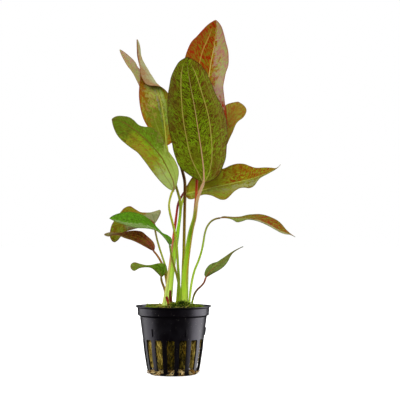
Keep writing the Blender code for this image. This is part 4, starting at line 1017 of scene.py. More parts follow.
@dataclass(frozen=True)
class FibreFinish(Finish):
    """Matted or loose fibres: a tint along the piece, shaded dark in its depths."""

    light: Colour
    middle: Colour
    # painted shade of hollows and shaded parts
    dark: Colour
    algae: Colour
    algae_share: float
    stretch: float  # how much the noise counts height; less draws it out upward
    scale: float  # fibres in a metre
    depth: float = 0.0004  # depth of the bump in metres

    def lay(self, s: Shader) -> None:
        """Blend light, middle, algae and dark tones by the riding tone and drawn-out noise; the dark is
        painted shade where the riding tone marks hollows and where the noise is low.

        Args:
            s: Shader of a mesh with fibre_tone on it.
        """
        place = s.place()
        tint, hollow_shade, green = s.attribute("fibre_tone")
        strand = s.noise(s.drawn(place, self.stretch), self.scale, 4.0, 0.65, 0.6)
        cloud = s.noise(place, 160.0, 3.0, 0.6)
        colour = s.layers(self.middle, (self.light, (strand * 0.6 + tint * 0.6).rise(0.38, 0.80)),
                          (self.algae, (cloud + green - 0.5).rise(0.35, 0.62) * self.algae_share),
                          # painted shade where the riding tone's second number is low, deepened by the noise
                          (self.dark, (hollow_shade * 0.7 + strand * 0.6).fall(0.30, 0.66) * 0.92))
        s.feed(Base_Color=colour, Roughness=0.78 + strand * 0.2, Specular_IOR_Level=0.25)
        s.bump(strand, self.depth, 0.9)


# What each part looks like

WOOL = FibreFinish(light=(214, 186, 92), middle=(126, 98, 22), dark=(10, 7, 3),
                   algae=(58, 64, 14), algae_share=0.6, stretch=0.22, scale=1100.0)
MOSS = FibreFinish(light=(134, 148, 32), middle=(38, 56, 10), dark=(5, 9, 3),
                   algae=(76, 108, 16), algae_share=0.5, stretch=1.0, scale=900.0)
BED = FibreFinish(light=(104, 96, 26), middle=(54, 48, 12), dark=(6, 6, 3),
                  algae=(44, 60, 12), algae_share=0.7, stretch=1.0, scale=800.0)
DRY = FibreFinish(light=(176, 158, 80), middle=(112, 98, 34), dark=(34, 28, 10),
                  algae=(90, 96, 28), algae_share=0.4, stretch=1.0, scale=700.0)
ROOT = FibreFinish(light=(230, 206, 146), middle=(136, 100, 38), dark=(14, 8, 3),
                   algae=(96, 74, 30), algae_share=0.35, stretch=1.0, scale=600.0)
CROWN = FibreFinish(light=(140, 130, 60), middle=(90, 84, 34), dark=(30, 24, 10),
                    algae=(70, 84, 24), algae_share=0.5, stretch=0.4, scale=700.0)

STUBS = (
    ("stub_tall",
     ((-0.6, -4.2, 48.3, 1.5, 1.4), (-1.3, -4.4, 52, 1.5, 1.4), (-2.2, -4.6, 55.5, 1.4, 1.3),
      (-2.1, -4.7, 60.4, 1, 1)),
     StalkFinish(((0.0, (84, 40, 18)), (0.4, (98, 14, 4)), (1.0, (98, 8, 6))))),
    ("stub_short",
     ((-2.9, -4.7, 48.3, 1.5, 1.4), (-3.5, -4.9, 51.5, 1.5, 1.4), (-4.3, -5.1, 54, 1.5, 1.4),
      (-5, -5.2, 56, 1.3, 1.2)),
     StalkFinish(((0.0, (130, 46, 20)), (0.4, (150, 28, 18)), (1.0, (120, 24, 24))))),
)

STALKS = {
    "front": StalkFinish(
        ((0.0, (190, 216, 84)), (0.16, (170, 208, 48)), (0.42, (138, 182, 22)), (0.60, (98, 138, 10)),
         (0.74, (128, 124, 34)), (0.84, (180, 146, 98)), (1.0, (196, 156, 118))),
        right=(196, 120, 36), right_share=0.6, left=(186, 210, 80), left_share=0.4,
        tint_along=(0.22, 0.78)),
    "tall": StalkFinish(
        ((0.0, (150, 185, 65)), (0.35, (140, 160, 50)), (0.62, (160, 92, 34)), (0.8, (160, 48, 18)),
         (1.0, (152, 40, 16))),
        right=(190, 120, 90), right_share=0.3),
    "back_left": StalkFinish(
        ((0.0, (160, 180, 44)), (0.16, (148, 152, 28)), (0.34, (130, 120, 12)), (0.50, (112, 84, 6)),
         (0.64, (82, 44, 5)), (0.80, (58, 24, 6)), (1.0, (110, 100, 40))),
        right=(176, 150, 60), right_share=0.5, left=(90, 70, 16), left_share=0.3, dots=0.7),
    "folded": StalkFinish(
        ((0.0, (206, 228, 118)), (0.14, (186, 218, 78)), (0.36, (160, 208, 44)), (0.50, (140, 196, 26)),
         (0.60, (116, 140, 16)), (0.72, (124, 118, 20)), (0.84, (148, 150, 34)), (1.0, (168, 184, 44))),
        left=(120, 90, 30), left_share=0.4, tint_along=(0.5, 0.9)),
    "left": StalkFinish(
        ((0.0, (134, 148, 26)), (0.25, (112, 142, 18)), (0.5, (142, 172, 24)), (0.75, (154, 160, 30)),
         (1.0, (165, 165, 50))),
        left=(150, 70, 32), left_share=0.7, tint_along=(0.3, 0.72)),
    "right": StalkFinish(
        ((0.0, (198, 224, 100)), (0.3, (174, 214, 52)), (0.7, (154, 208, 28)), (0.9, (172, 202, 58)),
         (1.0, (174, 182, 58))),
        right=(172, 184, 80), left_share=0.1),
    "back_right": StalkFinish(
        ((0.0, (198, 220, 118)), (0.12, (194, 212, 104)), (0.24, (206, 182, 110)),
         (0.34, (212, 136, 100)), (0.42, (196, 74, 50)), (0.50, (170, 40, 32)), (0.60, (112, 30, 46)),
         (0.76, (116, 52, 40)), (1.0, (128, 100, 44))),
        left=(206, 140, 110), left_share=0.75, tint_along=(0.05, 0.4)),
    "arching": StalkFinish(
        ((0.0, (176, 204, 76)), (0.35, (158, 196, 44)), (0.62, (140, 176, 28)), (0.82, (128, 140, 40)),
         (1.0, (112, 82, 32))),
        left=(168, 108, 66), left_share=0.4, tint_along=(0.0, 1.0)),
    "low_right": StalkFinish(
        ((0.0, (140, 176, 14)), (0.3, (102, 106, 2)), (0.6, (92, 50, 0)), (0.85, (120, 52, 0)),
         (1.0, (142, 54, 6))),
        right_share=0.0),
    "low_green": StalkFinish(
        ((0.0, (138, 174, 24)), (0.35, (106, 138, 10)), (0.6, (112, 104, 12)), (0.85, (118, 126, 18)),
         (1.0, (96, 132, 18))),
        left=(132, 96, 52), left_share=0.35),
    "low_olive": StalkFinish(
        ((0.0, (138, 188, 32)), (0.3, (124, 168, 22)), (0.6, (142, 160, 34)), (0.85, (152, 150, 54)),
         (1.0, (136, 80, 40))),
        left=(136, 76, 34), left_share=0.7, tint_along=(0.4, 0.95)),
    "low_red": StalkFinish(
        ((0.0, (150, 174, 36)), (0.35, (148, 140, 26)), (0.7, (152, 112, 32)), (1.0, (146, 88, 40)))),
    "low_waisted": StalkFinish(
        ((0.0, (140, 160, 30)), (0.4, (124, 114, 18)), (0.75, (128, 96, 28)), (1.0, (120, 112, 34)))),
}

BLADES = {
    "front": BladeFinish(
        (82, 56, 8), (60, 34, 4), (106, 136, 10), (160, 146, 66), (50, 28, 10), mottle_share=0.6,
        fleck_share=0.95, nerves=((-0.44, 0.85), (0.43, 0.75), (0.80, 0.15)), under=(136, 120, 58),
        under_mottle=(134, 78, 46), scale=1.28, patches=(
            Patch((82, 50, 6), 0.7, (0.3, 1.2), (-1.3, -0.5), ragged=1.2, fleck=(90, 108, 12)),
            Patch((98, 94, 12), 0.6, (-0.2, 0.36), ragged=1.0, fleck=(120, 148, 22)),
            Patch((92, 54, 10), 0.75, across=(0.55, 1.4), ragged=1.2, fleck=(96, 110, 14)))),
    "tall": BladeFinish(
        (132, 36, 4), (138, 16, 2), (114, 110, 16), (176, 146, 64), (126, 52, 24), mottle_share=0.62,
        fleck_share=0.9, nerves=((-0.46, 0.7), (0.52, 0.3)), under=(164, 112, 74),
        under_mottle=(156, 62, 46), scale=0.92, patches=(
            Patch((152, 92, 16), 0.8, (0.2, 1.0), (0.0, 0.22), soft=0.08, ragged=0.6, fleck=(146, 156, 34)),
            # painted sheen: the pale pink right half and the pinker stretch below it stand for the side
            # light's reflection; their flecks are the leaf's mottle
            Patch((164, 104, 100), 0.97, (0.30, 1.3), (0.17, 1.6), soft=0.09, ragged=0.5,
                  fleck=(146, 168, 88), lean=-0.22),
            Patch((180, 144, 136), 0.75, (0.28, 0.60), (0.45, 1.4), ragged=0.4, fleck=(172, 168, 120)),
            Patch((160, 32, 6), 1.0, (-0.1, 0.43), (0.50, 1.8), soft=0.05, fleck=(156, 74, 12),
                  ragged=0.25),
            Patch((136, 32, 6), 0.7, (0.1, 0.66), (-1.5, -0.60), soft=0.1, fleck=(128, 84, 18)),
            Patch((136, 44, 14), 0.6, (0.66, 0.97), (-1.5, -0.60), soft=0.1, ragged=1.0,
                  fleck=(124, 94, 26)),
            Patch((136, 62, 14), 0.8, (0.36, 0.66), (0.05, 0.40), soft=0.08, ragged=0.6,
                  fleck=(142, 126, 30)))),
    "back_left": BladeFinish(
        (148, 146, 92), (164, 112, 90), (142, 172, 84), (160, 132, 106), (146, 118, 92), fleck_share=0.6,
        nerves=((-0.5, 0.3), (0.45, 0.3)), under=(120, 126, 40), under_mottle=(130, 84, 30), patches=(
            Patch((176, 140, 122), 0.7, (0.5, 1.2), (0.2, 1.3), ragged=0.8),
            Patch((138, 158, 88), 0.6, (-0.2, 0.5), ragged=0.8))),
    "folded": BladeFinish(
        (130, 108, 26), (132, 78, 18), (130, 154, 36), (172, 168, 74), (132, 44, 20), mottle_share=0.45,
        nerves=((-0.55, 0.2), (0.5, 0.25)), under=(144, 146, 108), under_mottle=(140, 100, 62),
        under_patches=(Patch((136, 84, 54), 0.5, (0.3, 0.86), (1.6, 2.6), soft=0.2, ragged=0.6),),
        roughness=0.32, patches=(
            Patch((142, 72, 10), 0.9, (0.10, 1.0), (-1.4, -0.74), ragged=0.8, fleck=(134, 108, 16)),
            # painted sheen: a pinkish reflection across the middle of the first half
            Patch((150, 108, 66), 0.55, (0.30, 0.80), (-0.72, -0.06), soft=0.1, ragged=1.6,
                  fleck=(142, 158, 54)),
            Patch((116, 100, 104), 0.9, (0.12, 0.86), (-0.20, -0.09), soft=0.03, ragged=0.12),
            Patch((116, 132, 40), 0.85, (0.14, 0.80), (0.04, 0.85), ragged=0.5, fleck=(140, 180, 60)),
            Patch((166, 158, 116), 0.6, (0.3, 0.75), (0.16, 0.5), ragged=1.0, fleck=(150, 184, 80)),
            Patch((84, 104, 16), 0.8, (0.0, 0.38), (-0.95, 0.0), ragged=0.8, fleck=(104, 132, 26)),
            # painted light where the folded flap casts its shadow
            Patch((176, 174, 92), 0.5, (0.46, 0.68), (-0.6, 0.5), ragged=0.5, fleck=(176, 196, 92)),
            Patch((164, 104, 28), 0.8, (-0.1, 0.10), (0.25, 2.3), ragged=0.4),
            Patch((126, 118, 36), 0.7, (0.62, 0.9), (0.3, 1.3), ragged=0.8),
            Patch((166, 150, 118), 0.8, (0.9, 1.2), ragged=0.3))),
    "left": BladeFinish(
        (116, 126, 20), (124, 88, 20), (124, 158, 26), (106, 78, 28), (104, 96, 36), fleck_share=0.85,
        scale=1.1, nerves=((0.0, 1.0), (0.45, 0.4), (-0.42, 0.25)), under=(136, 152, 70),
        under_mottle=(140, 118, 58), roughness=0.32, patches=(
            Patch((76, 92, 14), 0.9, (0.34, 0.96), (-1.4, 0.12), ragged=0.4, fleck=(92, 130, 20)),
            Patch((130, 112, 20), 0.7, (0.14, 0.70), (0.25, 1.4), soft=0.24, ragged=1.0,
                  fleck=(132, 146, 32)),
            Patch((170, 116, 62), 0.3, (0.16, 0.66), (0.3, 1.1), soft=0.2, ragged=2.4),
            Patch((130, 162, 28), 0.5, (0.2, 0.56), (-0.25, 0.4), soft=0.2, ragged=1.0),
            Patch((80, 84, 16), 0.9, (0.74, 1.2), soft=0.1, ragged=0.4, fleck=(86, 118, 22)),
            # painted sheen at the foot
            Patch((156, 170, 100), 0.9, (-0.2, 0.28), soft=0.1, ragged=0.3, fleck=(164, 186, 92)),
            Patch((146, 168, 66), 0.7, (-0.1, 0.42), (-1.4, 0.1), soft=0.1, ragged=0.5,
                  fleck=(158, 184, 76)),
            Patch((124, 86, 54), 0.7, (0.36, 0.50), (-1.4, -0.55), soft=0.08, ragged=0.8),
            Patch((90, 70, 30), 0.8, (0.962, 1.3), soft=0.02, ragged=0.05))),
    "right": BladeFinish(
        (134, 84, 10), (126, 54, 6), (122, 136, 18), (152, 142, 50), (104, 80, 32),
        nerves=((-0.45, 0.3), (0.5, 0.25)), patches=(
            Patch((140, 142, 26), 0.85, (-0.1, 0.46), (-1.3, 0.0), ragged=0.9, fleck=(148, 164, 36)),
            Patch((110, 100, 26), 0.85, (-0.1, 1.1), (0.03, 1.4), soft=0.08, ragged=0.5,
                  fleck=(126, 150, 52)),
            # painted sheen along the lower half
            Patch((140, 150, 102), 0.75, (0.3, 0.85), (0.28, 0.8), ragged=1.0, fleck=(140, 120, 56)),
            Patch((144, 134, 34), 0.75, (0.10, 0.45), (0.5, 1.4), soft=0.14, ragged=0.8),
            # painted light that brightens the foot, in the front leaf's shade
            Patch((146, 156, 60), 0.5, (-0.2, 0.40), (0.05, 0.7), ragged=0.6, fleck=(150, 176, 70)),
            Patch((126, 92, 22), 0.85, (-0.02, 0.42), (0.35, 1.6), soft=0.12, ragged=1.0,
                  fleck=(118, 146, 34)),
            Patch((176, 180, 60), 0.5, (-0.1, 0.2), (-0.14, 0.10)),
            Patch((86, 70, 26), 0.8, (0.94, 1.3), soft=0.03))),
    "back_right": BladeFinish(
        (136, 110, 34), (140, 88, 30), (136, 152, 46), (150, 130, 66), (118, 90, 46), fleck_share=0.65,
        nerves=((-0.5, 0.25), (0.5, 0.25)), patches=(
            Patch((124, 124, 30), 0.6, (-0.1, 0.4), ragged=0.8),)),
    "arching": BladeFinish(
        (116, 80, 20), (120, 44, 14), (102, 118, 26), (150, 104, 60), (84, 86, 36), fleck_share=0.65,
        nerves=((-0.5, 0.2),), roughness=0.32, patches=(
            Patch((100, 108, 30), 0.7, (-0.1, 0.42), ragged=0.5),
            Patch((146, 148, 110), 0.85, (0.35, 1.1), (0.14, 1.3), soft=0.1, ragged=0.4),
            Patch((124, 134, 70), 0.8, (-0.1, 0.36), (0.1, 1.3), soft=0.1),
            Patch((96, 80, 34), 0.8, (0.93, 1.3), soft=0.03))),
    "low_right": BladeFinish(
        (98, 120, 46), (100, 92, 44), (122, 152, 66), (92, 84, 42), (88, 94, 52), mottle_share=0.4,
        fleck_share=0.5, nerves=((-0.45, 0.4), (0.45, 0.45)), patches=(
            Patch((78, 98, 32), 0.5, across=(-1.2, -0.5), ragged=0.5),
            Patch((130, 142, 76), 0.35, (0.2, 0.9), (0.3, 1.2), ragged=1.0),
            Patch((140, 140, 108), 0.8, (0.92, 1.3), soft=0.03))),
    "low_green": BladeFinish(
        (74, 116, 14), (66, 94, 16), (88, 142, 26), (60, 90, 20), (72, 92, 28), roughness=0.32, scale=1.7,
        mottle_share=0.4, patches=(
            Patch((112, 132, 74), 0.85, (0.16, 1.1), (0.16, 1.3), ragged=0.7, fleck=(140, 160, 100)),
            Patch((62, 106, 10), 0.5, (-0.1, 0.5), (-1.3, 0.05), ragged=0.8))),
    "low_olive": BladeFinish(
        (122, 106, 16), (128, 80, 16), (112, 136, 26), (104, 72, 32), (112, 60, 36),
        nerves=((-0.5, 0.25), (0.5, 0.2)), patches=(
            Patch((142, 146, 106), 0.85, (-0.1, 0.22), (-1.3, 0.3), soft=0.07, fleck=(124, 138, 92)),
            Patch((162, 156, 116), 0.85, (0.1, 0.54), (0.36, 1.3), soft=0.1, ragged=0.3,
                  fleck=(170, 168, 134)),
            Patch((126, 132, 42), 0.8, (0.66, 1.2), (0.30, 1.3), soft=0.1, ragged=0.5),
            Patch((86, 96, 14), 0.5, (0.6, 1.2), (-1.2, 0.3), ragged=0.8))),
    "low_red": BladeFinish(
        (102, 50, 10), (78, 30, 6), (100, 84, 16), (58, 26, 10), (104, 58, 32), mottle_share=0.55,
        fleck_share=0.8, nerves=((-0.5, 0.6), (0.5, 0.6), (-0.22, 0.4), (0.24, 0.4)), patches=(
            Patch((140, 66, 46), 0.8, (-0.2, 0.28), ragged=0.5),
            Patch((140, 140, 88), 0.8, (0.8, 1.2), (-1.2, 1.2), soft=0.08),
            Patch((120, 126, 70), 0.6, (0.55, 1.1), (0.45, 1.2), soft=0.1))),
    "low_waisted": BladeFinish(
        (94, 128, 26), (78, 92, 16), (112, 152, 40), (74, 84, 24), (116, 96, 44), mottle_share=0.45,
        fleck_share=0.7, nerves=((-0.5, 0.3), (0.5, 0.2)), patches=(
            Patch((68, 102, 10), 0.75, (-0.1, 0.42), (-0.9, 0.1), ragged=0.5),
            Patch((124, 136, 62), 0.55, (0.6, 1.2), ragged=0.6),
            Patch((116, 84, 34), 0.4, (0.5, 1.2), ragged=2.6))),
}

RIBS = {
    "front": (RibFinish((196, 154, 116), (140, 124, 58),
                       ((0.35, (184, 142, 98)), (0.75, (168, 142, 78)))), RibSide.RAISED, 1.2),
    "tall": (RibFinish((190, 110, 50), (156, 136, 40),
                       ((0.3, (212, 202, 116)), (0.8, (204, 192, 90)))), RibSide.RAISED, 1.5),
    "back_left": (RibFinish((150, 140, 80), (160, 140, 110)), RibSide.LEVEL, 1.1),
    "folded": (RibFinish((176, 178, 62), (170, 166, 74)), RibSide.RAISED, 1.25),
    "left": (RibFinish((140, 112, 56), (88, 92, 30),
                       ((0.25, (106, 66, 28)), (0.6, (82, 60, 20)))), RibSide.LEVEL, 1.1),
    "right": (RibFinish((172, 186, 60), (160, 158, 66)), RibSide.RAISED, 1.2),
    "back_right": (RibFinish((140, 124, 60), (140, 120, 50)), RibSide.LEVEL, 0.9),
    "arching": (RibFinish((120, 66, 30), (150, 82, 48)), RibSide.RAISED, 0.9),
    "low_right": (RibFinish((134, 62, 36), (106, 84, 50)), RibSide.RAISED, 0.8),
    "low_green": (RibFinish((84, 116, 26), (70, 104, 24)), RibSide.LEVEL, 0.9),
    "low_olive": (RibFinish((128, 60, 36), (120, 92, 40)), RibSide.LEVEL, 0.9),
    "low_red": (RibFinish((120, 56, 34), (96, 60, 30)), RibSide.LEVEL, 0.9),
    "low_waisted": (RibFinish((120, 96, 44), (110, 120, 50)), RibSide.LEVEL, 0.8),
}


# The plant


@dataclass
class Face:
    """A blade's middle surface, as grids whose rows run from foot to tip and columns edge to edge."""

    points: Array
    normals: Array
    across: Array  # share across: 0 at the midrib, -1 and 1 at the edges
    along: Array  # share along: 0 at the foot, 1 at the tip
    signed: Array  # distance from the midrib along the surface
    half: Array  # distance from the midrib to the edge on that side
    run: Array  # distance from the foot along the midrib
    edge: Array  # distance to the nearest edge
    seen: float  # 1 if the normals point at the viewer, else -1
    column: int  # the midrib's column


@dataclass
class Blade:
    """A thin closed sheet lofted through its lines, with its midrib as a tube let into it."""

    shape: LeafShape
    finish: BladeFinish
    rib_finish: RibFinish
    rib_side: RibSide
    rib_width: float
    cell: float = 0.75  # size of a mesh cell
    row_limits: tuple = (50, 130)  # fewest and most rows of the mesh
    column_limits: tuple = (24, 68)
    spare_width: float = 6.0  # added to the straight width for the bend across
    middle_thickness: float = 0.42
    edge_thickness: float = 0.13
    edge_reach: float = 4.0  # the sheet thins this near its edge; ridges fade over half of it
    pucker: float = 0.16  # height of the puckers
    pucker_lengths: tuple = (9.0, 4.5)
    flutter: float = 0.16  # height of the waves at the edge
    nerve_spread: float = 0.55  # half width of a nerve's ridge
    keel_spread: float = 0.7  # and of the keel under the midrib
    keel_rise: float = 1.8  # the keel's height in full nerves
    nerve_rises: tuple = (0.07, 0.16)  # a full nerve's height on the seen and the hidden face
    rib_end: float = 0.965  # where the midrib's tube stops, as a share along
    rib_taper: float = 3.2
    rib_thread: float = 0.12  # its least width
    rib_depth: tuple = (0.85, 0.42)  # its depth as a share of its width, and the least depth
    rib_sides: int = 12

    def surface(self) -> Face:
        """The blade's middle surface.

        Each row is the smooth curve through the lines' points at the same share of their
        length.  A pucker of two noises, and a flutter that grows as the cube of the share
        across, are added along the normal.

        Returns:
            The surface and what is known of each of its points.
        """
        ends = [np.array(line, dtype=float) for line in self.shape.lines]
        length = max(walked(end)[-1] for end in ends)
        width = np.linalg.norm(ends[0][len(ends[0]) // 2] - ends[-1][len(ends[-1]) // 2])
        spread = (width + self.spare_width) * (1.8 if len(ends) == 4 else 1.25)
        rows = int(np.clip(length / self.cell, *self.row_limits))
        columns = int(np.clip(spread / self.cell, *self.column_limits))
        lines = np.stack([smooth_curve(line, rows) for line in self.shape.lines])
        v = np.linspace(0.0, 1.0, columns)
        grid = hermite(np.linspace(0.0, 1.0, len(lines)), lines, v).transpose(1, 0, 2)

        rib_at = 1.0 / (len(lines) - 1)
        across = np.broadcast_to((v - rib_at) / rib_at, (rows, columns))
        widest = max(across.max(), 1.0)
        along = np.broadcast_to(np.linspace(0.0, 1.0, rows)[:, None], (rows, columns))
        walk = walked(grid, axis=1)
        at_rib = np.array([np.interp(rib_at, v, row) for row in walk])[:, None]
        run = walked(lines[1])[:, None]
        signed = walk - at_rib
        half = np.where(signed < 0, at_rib, (walk[:, -1:] - at_rib) / widest)
        edge = np.minimum(walk, walk[:, -1:] - walk)
        edge = np.minimum(edge, np.minimum(run, run[-1] - run) * 0.5 + 0.2)

        normals = unit(np.cross(np.gradient(grid, axis=1), np.gradient(grid, axis=0)))
        long, short = self.pucker_lengths
        wave = ripple(grid, long, 3) * 0.6 + ripple(grid, short, 7) * 0.4
        flutter = np.abs(across / widest) ** 3 * np.sin(run * 0.55 + across * 2.0)
        lift = self.pucker * wave * np.clip(edge / 3.0, 0.0, 1.0)
        lift = lift + self.flutter * flutter * np.minimum(half / 6.0, 1.0)
        grid = grid + normals * lift[..., None]
        normals = unit(np.cross(np.gradient(grid, axis=1), np.gradient(grid, axis=0)))
        seen = -np.sign((normals[..., 1] * np.where(across <= 1.0, half, 0.0)).sum())
        return Face(grid, normals, across, along, signed, half, np.broadcast_to(run, across.shape), edge,
                    seen, round(rib_at * (columns - 1)))

    def sheet(self, face: Face) -> Skin:
        """Give the surface its thickness, thick at the midrib and thin at the edges.

        A nerve stands out as a ridge, its strength times exp(-(distance / spread)^2).  It is
        higher on the hidden face, where the midrib has a keel of the same form.

        Args:
            face: The blade's middle surface.

        Returns:
            The closed sheet, with leaf_share = (across, along, seen or hidden face),
            leaf_mm = (from the midrib, from the foot, half width) and leaf_edge on it.
        """
        rows, columns = face.across.shape
        taper = np.clip(face.edge / self.edge_reach, 0.0, 1.0) ** 0.6
        half_thick = (self.edge_thickness + (self.middle_thickness - self.edge_thickness) * taper) / 2
        fade = np.clip(2.0 * face.edge / self.edge_reach, 0.0, 1.0)
        ridge = sum(strength * np.exp(-((face.across - place) * face.half / self.nerve_spread) ** 2)
                    for place, strength in self.finish.nerves) * fade
        keel = self.keel_rise * np.exp(-(face.signed / self.keel_spread) ** 2) * fade
        on_seen, on_hidden = self.nerve_rises
        lifts = [on_seen * ridge, on_hidden * (ridge + keel)][::int(face.seen)]
        first, second = (face.points + way * face.normals * (half_thick + lift)[..., None]
                         for way, lift in zip((1, -1), lifts))
        bottom, left = np.arange(columns - 1), np.arange(rows - 1) * columns
        last = rows * columns - 1
        rim = np.concatenate([bottom, left + columns - 1, last - bottom, last - left - columns + 1])
        share = triples(face.across, face.along, face.seen)
        place = triples(face.signed, face.run, face.half)
        return Skin.shell(first, second, grid_quads(rows, columns), rim,
                          leaf_share=np.stack([share, share * (1.0, 1.0, -1.0)]),
                          leaf_mm=np.stack([place, place]), leaf_edge=np.stack([face.edge, face.edge]))

    def rib(self, face: Face) -> Skin:
        """The midrib: an oval that thins from the stalk's width to a thread at the tip.

        Its width falls as (1 - u^6) / (1 + taper u), with u the share along, and its centre
        lies off the blade by the rib's side.

        Args:
            face: The blade's middle surface.

        Returns:
            The midrib's tube.
        """
        keep = slice(0, int(len(face.points) * self.rib_end))
        normal = face.normals[keep, face.column] * face.seen
        across = unit(np.gradient(face.points, axis=1)[keep, face.column])
        u = np.linspace(0.0, 1.0, len(normal))
        width = self.rib_width * (1.0 / (1.0 + self.rib_taper * u)) * (1.0 - u ** 6) + self.rib_thread
        offset = self.rib_side.value + 0.05 * np.exp(-6.0 * u)
        centre = face.points[keep, face.column] + normal * offset[:, None]
        along = np.cross(unit(np.gradient(centre, axis=0)), across)
        share, least = self.rib_depth
        size = np.stack([width, np.maximum(share * width, least)], axis=-1)
        return tube(centre, across, along, size, self.rib_sides)

    def build(self) -> list:
        """Make the sheet and its midrib, which both stand for the blade's solid.

        Returns:
            The two pieces.
        """
        name = self.shape.name
        face = self.surface()
        return [self.sheet(face).piece("leaf_" + name, self.finish, "leaf_" + name, "blade_" + name),
                self.rib(face).piece("midrib_" + name, self.rib_finish, "leaf_" + name, "blade_" + name)]


@dataclass
class Stalk:
    """A leaf's stalk or a stub: an oval with shallow ridges, swept along its table."""

    name: str
    piece_name: str
    table: tuple
    finish: StalkFinish
    slot: str
    blade_foot: tuple | None = None
    sides: int = 20
    lobes: float = 0.05
    foot_swell: float = 1.05  # how much thicker it is down in the moss
    end_taper: tuple = (0.9, 0.8)  # shares of width and depth that are left inside the blade
    ring_gap: float = 1.1
    least_rings: int = 14
    wobble: float = 0.035  # share by which it swells and shrinks along its way
    wobble_length: float = 14.0

    def build(self) -> list:
        """Sweep the stalk from inside the moss to just inside the blade's foot.

        Its ovals are turned so that their width lies across the view.

        Returns:
            The stalk as the only piece.
        """
        x, y, _, width, depth = self.table[0]
        path = [(x, y, STALK_FOOT, width * self.foot_swell, depth * self.foot_swell), *self.table]
        if self.blade_foot is not None:
            end = (size * share for size, share in zip(self.table[-1][3:], self.end_taper))
            path.append((*self.blade_foot, *end))
        length = walked(np.array(path)[:, :3])[-1]
        line = smooth_curve(tuple(path), max(self.least_rings, round(length / self.ring_gap)))
        centre = line[:, :3]
        tangent = unit(np.gradient(centre, axis=0))
        across = unit(np.cross((0.0, 1.0, 0.0), tangent))
        wobble = 1.0 + self.wobble * ripple(centre, self.wobble_length, len(self.name))[:, None]
        size = line[:, 3:] * wobble + STALK_GIRTH
        skin = tube(centre, across, np.cross(tangent, across), size, self.sides, self.lobes)
        return [skin.piece(self.piece_name, self.finish, self.slot, self.name)]


